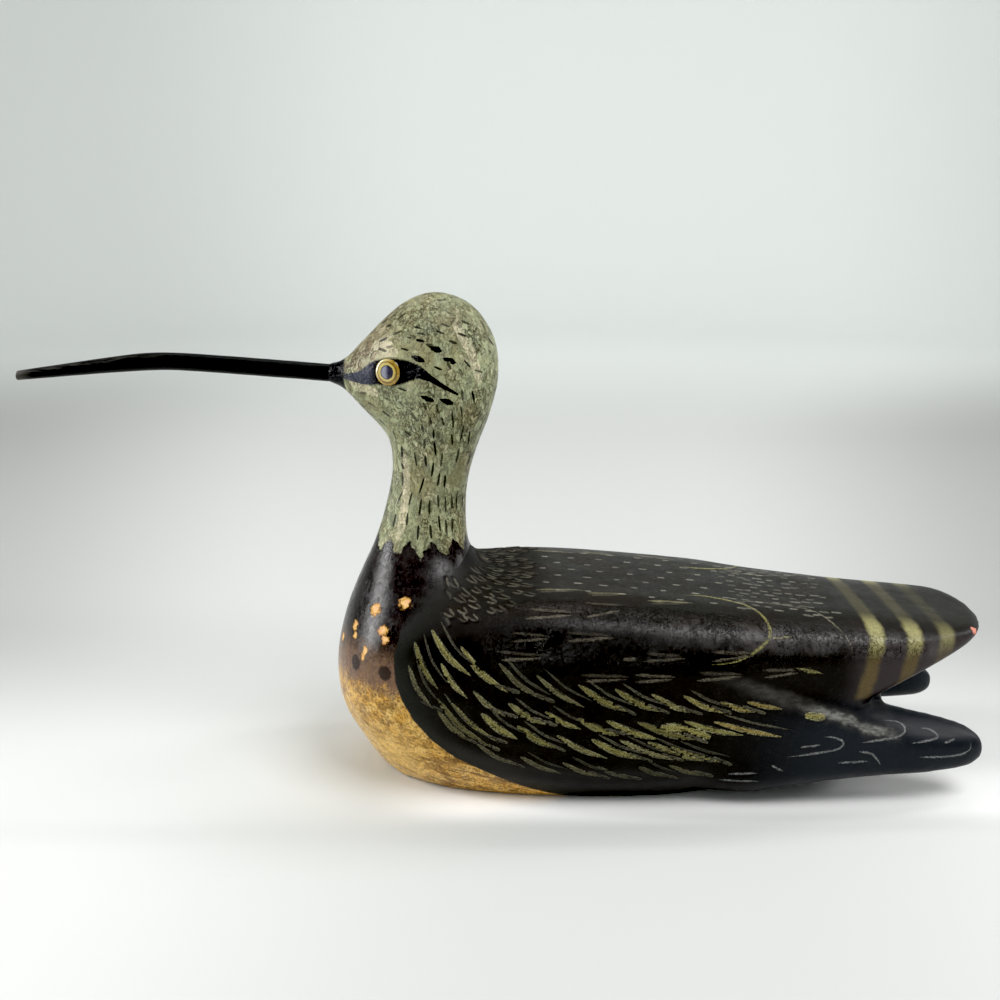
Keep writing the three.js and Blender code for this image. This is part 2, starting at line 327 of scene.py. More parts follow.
def sand(points, edges, passes, weight=1.0, press=0.6, release=0.62):
    """Takes facets off a surface and keeps its size: each pass pulls a point to its neighbours and back."""
    first, second = edges.T
    count = len(points)
    valence = np.bincount(edges.ravel(), minlength=count)

    def drift(current):
        total = np.empty_like(current)
        for axis in range(3):
            column = current[:, axis]
            total[:, axis] = np.bincount(first, column[second], count)
            total[:, axis] += np.bincount(second, column[first], count)
        return total / valence[:, None] - current

    for _ in range(passes):
        points = points + press * weight * drift(points)
        if release:
            points = points - release * weight * drift(points)
    return points


def make_carving():
    """Body, neck, head, tail and wing tips as one carved and sanded form."""
    piece = node_copy("carving", "painted_carving")
    select_only(piece, *add_plugs())
    bpy.ops.object.join()
    apply_modifier(piece, "REMESH", mode="VOXEL", voxel_size=VOXEL * MM, adaptivity=0)
    mesh = piece.data
    edges = read(mesh.edges, "vertices", 2, np.int64)
    points = sand(read_points(mesh), edges, SANDINGS)
    x, y, z = (points / MM).T
    root = smooth_step(x, *ROOT_FRONT) * smooth_step(x, *ROOT_BACK) * smooth_step(np.abs(y), *ROOT_SIDE)
    root *= smooth_step(z, *ROOT_TOP)
    points = sand(points, edges, ROOT_SANDINGS, weight=root[:, None], press=0.5, release=0)
    waves = np.array([noise.noise(Vector(point) / (WAVE_LENGTH * MM)) for point in points])
    ripple = np.array([noise.noise(Vector(point) / (RIPPLE_LENGTH * MM) + RIPPLE_SHIFT) for point in points])
    write_points(mesh, points)
    height = (WAVE_HEIGHT * waves + RIPPLE_HEIGHT * ripple) * smooth_step(points[:, 0] / MM, *EVEN_FACE) * MM
    points = points + read(mesh.vertices, "normal", 3) * height[:, None]
    points[:, 2] = np.maximum(points[:, 2], 0)
    write_points(mesh, points)
    for face in mesh.polygons:
        spot = face.center / MM
        face.select = all(low < place < high for low, place, high in zip(FINE_LOW, spot, FINE_HIGH))
    select_only(piece)
    with editing():
        bpy.ops.mesh.select_mode(type="FACE")
        bpy.ops.mesh.subdivide(number_cuts=1)
    bpy.ops.object.shade_smooth()
    return piece


def start_ring(name, sides, radius, place, rotation):
    """A flat disc, from which a round piece is drawn out ring by ring in edit mode."""
    bpy.ops.object.select_all(action="DESELECT")
    bpy.ops.mesh.primitive_circle_add(
        vertices=sides, radius=radius, fill_type="NGON", location=place, rotation=rotation
    )
    piece = bpy.context.object
    piece.name = name
    bpy.ops.object.transform_apply(location=True, rotation=True, scale=True)
    return piece


def next_ring(move, growth, centre):
    bpy.ops.mesh.extrude_region_move(TRANSFORM_OT_translate={"value": move})
    bpy.ops.transform.resize(value=growth, center_override=centre)


def face_outwards():
    bpy.ops.mesh.select_all(action="SELECT")
    bpy.ops.mesh.normals_make_consistent(inside=False)


BILL_STEPS = 72
BILL_SIDES = 36
BILL_TRIM = 0.975
TIP_BEVEL = 0.5
# Knife cuts: the share that they shave off, and how fast they change along and across the rod
CUT_DEPTH = 0.02
CUT_ALONG = 0.11
CUT_ACROSS = 0.3
# The bill's slices are read from the CAD model's points, which lie within this distance of their slice
SLICE_HALF = 0.2


def bill_rings():
    """Place, height, half height and half width of the bill's slices, from its end in the head to its tip."""
    points = read_points(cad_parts["bill"].data) / MM
    rings = []
    for x in sorted(set(np.round(points[:, 0], 1)), reverse=True):
        slice_points = points[np.abs(points[:, 0] - x) < SLICE_HALF]
        low, high = slice_points.min(axis=0), slice_points.max(axis=0)
        rings.append((x, (low[2] + high[2]) / 2, (high[2] - low[2]) / 2, (high[1] - low[1]) / 2))
    return np.array(rings)


def make_bill():
    """The bill: a round rod drawn out ring by ring, whittled thinner towards its square-cut tip."""
    rings = bill_rings()
    stations = [smooth_row(rings, place) for place in np.linspace(0, len(rings) - 1, BILL_STEPS + 1)]
    x, z, high, wide = stations[0] * MM
    piece = start_ring("painted_bill", BILL_SIDES, high * BILL_TRIM, (x, 0, z), (0, math.pi / 2, 0))
    with editing():
        bpy.ops.transform.resize(value=(1, wide / high, 1), center_override=(x, 0, z))
        for before, after in zip(stations, stations[1:]):
            move = ((after[0] - before[0]) * MM, 0, (after[1] - before[1]) * MM)
            growth = (1, after[3] / before[3], after[2] / before[2])
            next_ring(move, growth, (after[0] * MM, 0, after[1] * MM))
        face_outwards()
    points = read_points(piece.data)
    middle = np.interp(points[:, 0] / MM, *np.array(stations)[::-1, :2].T) * MM
    for point, axis in zip(points, middle):
        spot = (point[0] / MM * CUT_ALONG, point[1] / MM * CUT_ACROSS, (point[2] - axis) / MM * CUT_ACROSS)
        shaved = CUT_DEPTH * noise.noise(Vector(spot))
        point[1] *= 1 + shaved
        point[2] = axis + (point[2] - axis) * (1 + shaved)
    write_points(piece.data, points)
    bevel = {"width": TIP_BEVEL * MM, "segments": 2, "limit_method": "ANGLE", "angle_limit": math.radians(60)}
    apply_modifier(piece, "BEVEL", **bevel)
    bpy.ops.object.shade_smooth_by_angle(angle=SHARP_EDGE)
    return piece


EYE_RINGS = 18
EYE_SIDES = 72
# The seat's end and the crown as shares of the eye's radius, and the share of the seat that is tapered
EYE_SEAT_END = 0.96
EYE_CROWN = 0.02
EYE_SEAT_TAPER = 0.1


def make_eye(name, node):
    """A clear dome over a painted ring and pupil, drawn out of its seat ring by ring."""
    rim, outward, radius = eye_axis(node)
    profile = [(EYE_SEAT_END, -EYE_SEAT), (1, (EYE_SEAT_TAPER - 1) * EYE_SEAT), (1, 0)]
    for ring in range(1, EYE_RINGS):
        angle = ring / EYE_RINGS * math.pi / 2
        profile.append((math.cos(angle), EYE_DOME * math.sin(angle)))
    profile.append((EYE_CROWN, EYE_DOME))
    share, height = profile[0]
    turned = outward.to_track_quat("Z", "Y").to_euler()
    piece = start_ring(name, EYE_SIDES, radius * share, rim + outward * height * MM, turned)
    with editing():
        for (before, low), (after, high) in zip(profile, profile[1:]):
            next_ring(outward * (high - low) * MM, (after / before,) * 3, rim + outward * high * MM)
        bpy.ops.mesh.merge(type="CENTER")
        face_outwards()
    bpy.ops.object.shade_smooth_by_angle(angle=SHARP_EDGE)
    # how far each point lies from the eye's middle, in all, towards the tail and upwards
    points = (read_points(piece.data) - np.array(rim)) / radius
    sideways = points - np.outer(points @ np.array(outward), np.array(outward))
    store(piece, "reach", np.linalg.norm(sideways, axis=1))
    store(piece, "tailward", sideways[:, 0].copy())
    store(piece, "rise", sideways[:, 2].copy())
    return piece


# Brushwork: each stroke is laid along the surface, and every face near it learns its place in the stroke

# A sample is one place on a stroke, as a row of numbers with these columns
PLACE = slice(0, 3)
ALONG = slice(3, 6)
ACROSS = slice(6, 9)
OUTWARD = slice(9, 12)
TRAVEL, LENGTH, WIDTH, TONE, STRENGTH = range(12, 17)
# Samples lie this far apart. The curve between two points of a path is followed in GUIDE_STEPS steps.
SAMPLE_STEP = 0.6
GUIDE_STEPS = 12
# A face that is turned away from its stroke, or too far above or below it, lies nowhere in it
NOWHERE = 9.0
LEAST_FACING = 0.2
LIFT_LIMIT = 2.5
LEAST_WIDTH = 0.05
# Where the lines of sight start that find a point on the flank or on the back, in metres
SIDE_START = 0.3
TOP_START = 0.4

# Tones of the strokes: a coat's material gives each tone its colour
DASH_TONE = 0.0
DOT_TONE = 0.5
NAPE_TONE = 1.0
PALE_STREAK_TONE = 1.5
STRIPE_TONE = 0.0
TIP_LINE_TONE = 0.3

# How a stroke's width changes from its start to its end
EVEN = [(0, 1), (1, 1)]
LINE_TAPER = [(0, 0.35), (0.15, 1), (0.75, 1), (1, 0.3)]
FEATHER_TAPER = [(0, 0.45), (0.12, 0.8), (0.4, 1), (0.65, 0.92), (0.85, 0.6), (1, 0.15)]


def travelled(path):
    """Length of a path up to each of its points, in mm."""
    steps = np.linalg.norm(np.diff([tuple(point) for point in path], axis=0), axis=1)
    return np.concatenate([[0], np.cumsum(steps / MM)])


class Coat:
    """All strokes of one coat of paint on a piece."""

    def __init__(self, piece, name):
        self.piece = piece
        self.name = name
        faces = [tuple(face.vertices) for face in piece.data.polygons]
        self.surface = BVHTree.FromPolygons(read_points(piece.data).tolist(), faces)
        self.samples = []

    def hit(self, start, direction):
        """Where a line of sight meets the surface, or None."""
        return self.surface.ray_cast(start, direction)[0]

    def flank(self, side, *places):
        """Surface points at places (x, z) on the flank, as seen from that side."""
        starts = [Vector((x * MM, side * SIDE_START, z * MM)) for x, z in places]
        return [self.hit(start, Vector((0, -side, 0))) for start in starts]

    def back(self, *places):
        """Surface points at places (x, y) on the back."""
        starts = [Vector((x * MM, y * MM, TOP_START)) for x, y in places]
        return [self.hit(start, Vector((0, 0, -1))) for start in starts]

    def lay(self, path, width, tone, strength=1.0, taper=EVEN):
        """One stroke through surface points. width is its half width in mm, scaled by taper along the way."""
        if None in path:
            return
        guide = np.array([tuple(point) for point in path])
        if len(guide) > 2:
            places = np.linspace(0, len(guide) - 1, GUIDE_STEPS * (len(guide) - 1) + 1)
            guide = np.array([smooth_row(guide, place) for place in places])
        travel = travelled(guide)
        length = travel[-1]
        count = max(int(length / SAMPLE_STEP) + 1, 3)
        even = np.linspace(0, length, count)
        dense = np.stack([np.interp(even, travel, guide[:, axis]) for axis in range(3)], axis=1)
        found = [self.surface.find_nearest(Vector(point)) for point in dense]
        spots, normals = (np.array([tuple(nearest[part]) for nearest in found]) for part in (0, 1))
        along = np.gradient(spots, axis=0)
        along -= normals * (along * normals).sum(axis=1)[:, None]
        along /= np.linalg.norm(along, axis=1)[:, None] + 1e-12
        share = np.linspace(0, 1, count)
        numbers = [share * length, length, width * np.interp(share, *zip(*taper)), tone, strength]
        columns = [np.full(count, number) for number in numbers]
        self.samples.extend(np.column_stack([spots, along, np.cross(normals, along), normals] + columns))

    def dry(self):
        """Stores the nearest stroke of each face: the place in it as a UV map, and its tone and strength."""
        mesh = self.piece.data
        samples = np.array(self.samples)
        tree = grow_tree(samples[:, PLACE])
        nearest = samples[[tree.find(centre)[1] for centre in read(mesh.polygons, "center", 3)]]
        owners = np.repeat(np.arange(len(nearest)), read(mesh.polygons, "loop_total", kind=np.int64))
        own = nearest[owners]
        offset = read_points(mesh)[read(mesh.loops, "vertex_index", kind=np.int64)] - own[:, PLACE]
        along, across, lift = ((offset * own[:, axis]).sum(axis=1) / MM for axis in (ALONG, ACROSS, OUTWARD))
        facing = (read(mesh.polygons, "normal", 3)[owners] * own[:, OUTWARD]).sum(axis=1)
        u = (own[:, TRAVEL] + along) / own[:, LENGTH]
        v = across / np.maximum(own[:, WIDTH], LEAST_WIDTH)
        place = np.stack([u, v], axis=1)
        place[(facing < LEAST_FACING) | (np.abs(lift) > LIFT_LIMIT)] = NOWHERE
        layer = mesh.uv_layers.new(name=self.name)
        layer.data.foreach_set("uv", np.clip(place, -NOWHERE, NOWHERE).ravel())
        store(self.piece, self.name + "_tone", nearest[:, TONE], "FACE")
        store(self.piece, self.name + "_strength", nearest[:, STRENGTH], "FACE")


# Slices of head and neck: middle (x, z), and the slice's lean in degrees from level
HEAD_SLICES = np.array([
    (-72.7, 202.9, 88), (-65, 203.9, 84), (-56.6, 205.2, 83), (-48.6, 205.9, 79), (-40.6, 204.5, 72),
    (-32.7, 198.2, 62), (-27.7, 187.7, 53), (-27, 176.2, 45), (-29.5, 164.5, 39), (-33.4, 153.5, 33),
    (-36.4, 143, 25), (-38.2, 132, 16), (-40, 120, 10),
])
# The slices between which the columns of dashes run, and the slice where the neck starts
FIRST_DASH = 0.9
LAST_DASH = len(HEAD_SLICES) - 1.4
NECK_SLICE = 6.5
SLICE_STEP = 0.12
# The cheek's slices lie before this one
CHEEK_END = 4.6
DASH_COLUMNS = 22
DASH_GAP = 9.0
# Going down the neck the columns drift towards the nape, so that they hang straight
DASH_DRIFT = [(0, 0), (6.5, 0), (10.5, 0.45), (12, 0.55)]
# Dashes on neck and head: length, half width, strength, and the share of the gap to the next one
NECK_DASH = {"length": (6.2, 8.6), "width": (0.5, 0.78), "strength": (0.8, 1), "gap": 1.22}
HEAD_DASH = {"length": (3.4, 5.4), "width": (0.55, 0.85), "strength": (0.55, 0.95), "gap": 0.85}
# Large dabs above and below the tail of the eye stripe, as (x, z)
HEAD_DABS = [(-29.5, 218.5), (-37.5, 214), (-23, 213), (-34, 195.5), (-24.5, 194)]
DAB_TAPER = [(0, 0.4), (0.6, 1), (1, 0.6)]
# Small ticks above the eye, as (x, z). They slope more behind TICK_TURN.
HEAD_TICKS = [
    (-54, 217), (-44.5, 218), (-38, 227.5), (-36, 225), (-36.5, 222), (-41.5, 223), (-28, 225.5),
    (-32, 220), (-25.5, 228.5), (-21, 221), (-28, 209.5), (-15.5, 229), (-17, 224), (-9.5, 207),
]
TICK_TURN = -30


def head_point(coat, place, angle):
    """Surface point on head or neck: place along the slices, angle round from crown or nape to the throat."""
    x, z, lean = smooth_row(HEAD_SLICES, place)
    up = Vector((math.cos(math.radians(lean)), 0, math.sin(math.radians(lean))))
    direction = up * math.cos(angle) + Vector((0, 1, 0)) * math.sin(angle)
    return coat.hit(Vector((x * MM, 0, z * MM)), direction)


def paint_head_dashes(coat, chance):
    """Short dark dashes in staggered columns that run back over the crown and down the neck."""
    places = np.arange(FIRST_DASH, LAST_DASH, SLICE_STEP)

    def drifted(place, angle):
        turn = math.sin(angle) * (1 - 0.6 * math.cos(angle))
        return head_point(coat, place, angle - np.interp(place, *zip(*DASH_DRIFT)) * turn)

    for column in range(DASH_COLUMNS):
        angle = 2 * math.pi * (column + 0.5) / DASH_COLUMNS
        line = [drifted(place, angle) for place in places]
        if None in line:
            continue
        travel = travelled(line)
        position = DASH_GAP * (0.25 + 0.5 * (column % 2)) + chance.uniform(-1, 1)
        while position < travel[-1] - 2:
            on_neck = np.interp(position, travel, places) > NECK_SLICE
            dash = NECK_DASH if on_neck else HEAD_DASH
            half = chance.uniform(*dash["length"]) / 2
            width = chance.uniform(*dash["width"])
            start, end = np.interp([position - half, position + half], travel, places)
            sway = chance.uniform(-0.03, 0.03)
            # fewer on crown and nape, and fewest on the cheek
            on_crown = not on_neck and math.cos(angle) > 0.2
            on_nape = on_neck and math.cos(angle) > 0.1
            on_cheek = start < CHEEK_END and abs(math.sin(angle)) > 0.75 and -0.35 < math.cos(angle) < 0.55
            share = 0.55 if on_crown or on_nape else 0.9
            if chance.random() < share and not (on_cheek and chance.random() < 0.7):
                turn = angle + (chance.uniform(-0.1, 0.1) if on_crown else chance.uniform(-0.03, 0.03))
                path = [drifted(start, turn + sway), drifted(end, turn - sway)]
                coat.lay(path, width, DASH_TONE, chance.uniform(*dash["strength"]))
            position += DASH_GAP * chance.uniform(0.85, 1.15) * dash["gap"]
    for side in SIDES:
        for x, z in HEAD_DABS:
            x += chance.uniform(-0.4, 0.4)
            path = coat.flank(side, (x - 3.2, z + 1.1), (x + 3.2, z - 1.4))
            coat.lay(path, chance.uniform(1.6, 2.0), DASH_TONE, 1.0, DAB_TAPER)
        for x, z in HEAD_TICKS:
            x += chance.uniform(-0.7, 0.7)
            drop = 0.7 if x < TICK_TURN else 1.6
            path = coat.flank(side, (x - 1.9, z + drop / 2), (x + 1.9, z - drop / 2))
            coat.lay(path, chance.uniform(0.5, 0.8), DASH_TONE, chance.uniform(0.75, 1))


# The dabs on the back, and the crowd before the tail: where they begin, and their steps along and across
DOTS_START = 20
DOTS_ALONG = 14.5
DOTS_ACROSS = 9.6
CROWD_START = 112
CROWD_ALONG = 6.4
CROWD_ACROSS = 5


def paint_back_dots(coat, chance):
    """Rows of small pale dabs on the back, and a crowd of longer ones in front of the tail."""
    for row in range(-3, 4):
        for step in range(10):
            x = DOTS_START + DOTS_ALONG * step + (7 if row % 2 else 0) + chance.uniform(-1.2, 1.2)
            y = row * DOTS_ACROSS + chance.uniform(-0.8, 0.8)
            if x < CROWD_START:
                path = coat.back((x, y), (x + chance.uniform(3, 4.6), y))
                coat.lay(path, chance.uniform(0.8, 1.15), DOT_TONE, chance.uniform(0.45, 0.8))
    for row in range(-6, 7):
        for step in range(8):
            x = CROWD_START + CROWD_ALONG * step + (3.2 if row % 2 else 0) + chance.uniform(-1.6, 1.6)
            y = row * CROWD_ACROSS + chance.uniform(-1.4, 1.4)
            if chance.random() < 0.75:
                path = coat.back((x, y), (x + chance.uniform(3.4, 6), y + chance.uniform(-0.4, 0.4)))
                coat.lay(path, chance.uniform(0.9, 1.4), DOT_TONE, chance.uniform(0.25, 0.6))


# Gouged chevrons lie in rings round the foot of the neck: first ring's radius, and the step between rings
NAPE_CENTRE = (-30, 0)
NAPE_RADIUS = 21
NAPE_STEP = 7.4
NAPE_RINGS = 7
NAPE_SPACING = 7.8
NAPE_SWEEP = math.radians(166)
# They end where the neck rises, and in front and behind
NECK_ROOT = 111
NAPE_FRONT = -27
NAPE_BACK = 19
# They stand up as small ridges: their height, and how far they reach to each side
CHEVRON_HEIGHT = 0.55
CHEVRON_REACH = 1.1


def nape_point(coat, place):
    """Surface point where a line from inside the breast, leaning out with place, leaves the body."""
    inner = Vector((place.x * 0.55 - 14, place.y * 0.35, 62)) * MM
    target = Vector((place.x, place.y, 112)) * MM
    return coat.hit(inner, (target - inner).normalized())


def paint_nape_marks(coat, chance):
    """Small chevrons cut into nape and shoulders, all pointing back and away from the neck."""
    centre = Vector(NAPE_CENTRE)
    for ring in range(NAPE_RINGS):
        radius = NAPE_RADIUS + NAPE_STEP * ring
        count = int(NAPE_SWEEP * radius / NAPE_SPACING)
        for step in range(count):
            angle = ((step + 0.5 * (ring % 2)) / count - 0.5) * NAPE_SWEEP
            angle += chance.uniform(-0.05, 0.05)
            away = Vector((math.cos(angle), math.sin(angle)))
            tip = centre + away * (radius + chance.uniform(-1.5, 1.5))
            out = (away * 0.65 + Vector((0.35, 0))).normalized()
            aside = Vector((-out.y, out.x))
            length = chance.uniform(6.0, 8.6)
            strength = chance.uniform(0.45, 1)
            for hand in (-1, 1):
                rear = tip - out * length * chance.uniform(0.65, 1.1)
                open_end = rear + aside * hand * chance.uniform(1.4, 2.3)
                middle = tip - out * length * 0.3 + aside * hand * 1.2
                path = [nape_point(coat, place) for place in (open_end, middle, tip)]
                if None in path or path[0].z > NECK_ROOT * MM or path[0].x < NAPE_FRONT * MM:
                    continue
                if path[2].x > NAPE_BACK * MM or (path[2] - path[0]).length > 1.5 * length * MM:
                    continue
                width = chance.uniform(0.6, 0.95)
                coat.lay(path, width, NAPE_TONE, strength * chance.uniform(0.3, 0.8), LINE_TAPER)


def raise_chevrons(piece, coat):
    """Lifts the surface along the strokes of the nape's chevrons."""
    tree = grow_tree([sample[PLACE] for sample in coat.samples if sample[TONE] == NAPE_TONE])
    points = read_points(piece.data)
    normals = read(piece.data.vertices, "normal", 3)
    for point, normal in zip(points, normals):
        distance = tree.find(point)[2] / MM
        if distance < CHEVRON_REACH:
            point += normal * CHEVRON_HEIGHT * MM * (1 - (distance / CHEVRON_REACH) ** 2)
    write_points(piece.data, points)


# Rows of feather strokes on the folded wing: number, half width, strength, and keys. A key is a stroke, as
# (x, z) of its blunt front end and of its tip. The strokes are spaced evenly from the first key to the last.
FEATHER_ROWS = [
    (10, 1.65, 0.85,
     [(-31, 91, -13, 72), (3, 76, 25, 58), (45, 66, 69, 53), (81, 62, 99, 53), (115, 57, 131, 53)]),
    (10, 1.7, 0.95,
     [(-39, 85, -28, 64), (-8, 62, 8, 50), (29, 52, 47, 43), (61, 49, 86, 40), (101, 49, 131, 41)]),
    (9, 1.9, 0.9,
     [(-30, 60, -6, 36), (-9, 52, 9, 38), (27, 41, 50, 29), (57, 40, 85, 28), (80, 36, 103, 27)]),
    (8, 1.5, 0.55,
     [(-42, 74, -30, 52), (-16, 38, 3, 25), (20, 28, 41, 18), (52, 24, 67, 16), (81, 25, 97, 18)]),
]
# Rows weaker than this stay grey. The others turn golden between these places along the wing.
FAINT = 0.6
GOLDEN = (70, 110)
# A large worn dab among the strokes, and a bright one where the wing tip starts: points and half width, tone
WORN_DAB = ([(75, 45.5), (87, 44.5), (99, 40)], 3.5, 0.6)
BRIGHT_DAB = ([(143.5, 50), (153.5, 48.5)], 2.4, 0.5)


def paint_feathers(coat, side, chance):
    """Rows of slender feather strokes that sweep down and back along the folded wing."""
    for count, half, strength, keys in FEATHER_ROWS:
        keys = np.array(keys, dtype=float)
        for step in range(count):
            place = step / (count - 1) * (len(keys) - 1)
            shift = np.array([chance.uniform(-1.2, 1.2), chance.uniform(-0.8, 0.8)])
            x, z, tip_x, tip_z = smooth_row(keys, place) + np.tile(shift, 2)
            stretch = chance.uniform(0.92, 1.12)
            tip_x, tip_z = x + (tip_x - x) * stretch, z + (tip_z - z) * stretch
            sag = 0.07 - 0.01 * place
            middle = ((x + tip_x) / 2 + sag * (tip_z - z), (z + tip_z) / 2 - sag * (tip_x - x))
            spots = [(x, z), middle, (tip_x, tip_z)]
            tone = min(max(0.4 + 0.45 * smooth_step(x, *GOLDEN) + chance.uniform(-0.25, 0.2), 0), 1)
            if strength < FAINT:
                tone *= 0.35
            width = half * chance.uniform(1.0, 1.4)
            full = strength * chance.choice((0.55, 0.8, 0.95, 1.05))
            coat.lay(coat.flank(side, *spots), width, tone, full, FEATHER_TAPER)
            if chance.random() < 0.6:
                # a grey, half dry second touch behind the stroke's tip
                after = (tip_x + chance.uniform(3, 6), tip_z - chance.uniform(0, 2))
                touch = coat.flank(side, (tip_x - 6, tip_z + 3.5), after)
                coat.lay(touch, chance.uniform(0.9, 1.4), 0.05, strength * chance.uniform(0.4, 0.75))
            if chance.random() < 0.5:
                # a thin grey stroke in the gap above
                lift = chance.uniform(3, 4.5)
                thin = coat.flank(side, *((a + lift, b + lift * 0.8) for a, b in spots))
                width = chance.uniform(0.7, 1.0)
                coat.lay(thin, width, 0.0, strength * chance.uniform(0.3, 0.6), FEATHER_TAPER)
    for spots, width, tone in (WORN_DAB, BRIGHT_DAB):
        coat.lay(coat.flank(side, *spots), width, tone)


def on_side(side, *places):
    """Points near the surface, from (x, distance out from the middle, z)."""
    return [Vector((x, side * out, z)) * MM for x, out, z in places]


# Rows of scale-like feather tips on the shoulder: height, and where each tip starts
SCALE_ROWS = [(99, (12, 38)), (89.5, (4, 31)), (81, (-1, 66, 96)), (71, (38, 62, 91, 121))]
SCALE_LENGTH = 21
SCALE_OPENING = 2.0


def paint_scale_tips(coat, side, chance):
    """Pairs of thin dry strokes that close to a point towards the tail."""
    for z, starts in SCALE_ROWS:
        for x in starts:
            rise = z + chance.uniform(-0.6, 0.6)
            for hand in (-1, 1):
                start_z = rise + hand * SCALE_OPENING * chance.uniform(0.7, 1.15)
                start = (x + chance.uniform(-1, 2.5), start_z)
                end = (x + SCALE_LENGTH * chance.uniform(0.85, 1.05), rise + 0.5 * hand)
                width = chance.uniform(0.85, 1.2)
                strength = chance.uniform(0.3, 0.6) + (0.2 if hand < 0 else 0)
                coat.lay(coat.flank(side, start, end), width, 0.5, strength, LINE_TAPER)
    coat.lay(on_side(side, (138, 51, 73), (152, 49, 69)), 1.7, 0.8, 0.8, [(0, 0.1), (0.5, 1), (1, 0.1)])
    coat.lay(on_side(side, (57, 57, 80), (63, 57, 80)), 1.2, 0.5, 0.7)


# Long dashes between back and shoulder: start, distance out from the middle, and length
LONG_DASHES = [(17, 30, 23), (41, 31, 20), (70, 34, 22)]
LONG_DASH_TAPER = [(0, 0.3), (0.3, 1), (0.7, 0.8), (1, 0.2)]
# Lines as points (x, distance out, z), half width, tone, strength and taper: the big feather arcs and a dash
# before the tail
LONG_LINES = [
    ([(88, 23, 99), (97, 21, 98), (109, 23, 96), (120, 29, 95), (125.5, 39, 92), (126, 48, 88), (120, 53, 83),
      (109, 56, 78), (98, 57, 77)], 1.2, 0.95, 0.9, LINE_TAPER),
    ([(109, 25, 96), (126, 21, 94), (141, 22, 93), (152, 26, 91), (160, 38, 88), (165, 44, 82),
      (166, 47, 78)], 0.85, 0.55, 0.8, LINE_TAPER),
    ([(125, 49, 87), (137, 47, 87)], 1.1, 0.8, 0.75, [(0, 0.3), (1, 1)]),
]


def paint_long_lines(coat, side, chance):
    """The long dashes between back and shoulder, and the big feather arcs before the tail."""
    for x, out, length in LONG_DASHES:
        path = coat.back((x, side * out), (x + length, side * (out - 2)))
        coat.lay(path, 2.1, 0.66, chance.uniform(0.6, 0.85), LONG_DASH_TAPER)
        path = coat.back((x + 1, side * (out + 2.5)), (x + length * 0.8, side * out))
        coat.lay(path, 0.8, 0.5, chance.uniform(0.4, 0.6), LINE_TAPER)
    for places, *look in LONG_LINES:
        coat.lay(on_side(side, *places), *look)


# Thin arcs and dashes on the wing tip, as (x, distance out, z)
TIP_LINES = [
    [(172, 52, 35), (182, 50, 35.5), (190, 49, 36.5), (194.5, 46, 39), (192, 43, 42), (184, 45, 43.5)],
    [(202, 43, 38), (206, 43, 38), (209.5, 44, 36), (209, 46, 34), (197, 48, 32.5)],
    [(201, 49, 26), (212, 48, 25.5), (221, 47, 26), (226, 46, 28), (226.5, 44, 31)],
    [(153, 54, 39), (158, 54, 38.5), (162.5, 53, 36), (161.5, 54, 33), (156, 54, 31.5), (136, 55, 29)],
    [(142, 55, 34), (152, 55, 35)],
    [(171, 53, 30.5), (177, 52, 29), (180, 52, 26), (182, 51, 23)],
    [(161, 53, 25), (176, 52, 25)],
    [(213, 47, 32), (219, 46, 34)],
    [(129, 55, 24.5), (135, 55, 21)],
    [(109, 53, 19), (123, 54, 20)],
    [(105, 52, 15), (124, 53, 15)],
]

# The stripe through the eye, as (x, height of its middle, half its width)
EYE_STRIPE = [
    (-73.5, 203, 1.6), (-69, 203.2, 2.7), (-64, 203.8, 4.2), (-60.5, 205.2, 5.6), (-56.8, 206.6, 6.6),
    (-51.5, 207.3, 6.8), (-47, 207.6, 6.9), (-42.3, 208, 5.6), (-37.4, 207.4, 3.4), (-32.5, 205, 1.8),
    (-26, 200.8, 1.3), (-19.3, 196.8, 0.9),
]
# Distance of the head's side from the middle, along the stripe, as (x, distance)
CHEEK = [(-75, 6), (-66, 13), (-56, 18), (-44, 22), (-33, 23), (-19, 21)]


def paint_eye_stripe(coat, side):
    """The black stripe that runs from the bill through the eye."""
    path = [Vector((x, side * np.interp(x, *zip(*CHEEK)), z)) * MM for x, z, _ in EYE_STRIPE]
    travel = travelled(path)
    taper = [(place / travel[-1], row[2]) for place, row in zip(travel, EYE_STRIPE)]
    coat.lay(path, 1.0, STRIPE_TONE, 1.0, taper)


# Pale cream streaks on head and neck, as (x, distance out, z), and their half width: worn places where a
# cream coat shows, except the second and third, which are painted highlights down the neck's front and along
# the back of the head
WORN_AND_HIGHLIGHT_STREAKS = [
    [(-71, 9, 199.4), (-66, 12.5, 198.4), (-62, 14.5, 197.8), (-57, 17.5, 196.4)],
    [(-45, 15.7, 167), (-45, 14.9, 157), (-45.3, 15.3, 147), (-46.5, 16.2, 138), (-49.5, 17.8, 125)],
    [(-21, 14.8, 229.5), (-17.5, 16.4, 223), (-13.5, 16.7, 216), (-11, 16.8, 208), (-9.3, 15.8, 201)],
    [(-66, 7, 213), (-58, 12, 218), (-49, 18, 219)],
    [(-60, 15, 211.5), (-58, 16, 213.5), (-53.2, 17.7, 216.3), (-47, 20.5, 216)],
]
PALE_STREAK_WIDTH = 2.6

# Where the front edge of the folded wing meets breast and belly, as (x, z)
WING_EDGE = [
    (60, -30), (34, 0), (10, 9), (-5, 17), (-22, 26), (-33, 35), (-41, 45), (-46, 55), (-49.5, 66),
    (-50, 78), (-46, 90), (-37, 100), (-24, 110),
]
# The ridge where each wing tip leaves the side, which carries a painted sheen, as (x, z)
RIDGE_LINE = [(88, 74), (109, 68), (121, 63), (131, 59), (149, 52), (161, 48), (175, 41), (191, 37)]


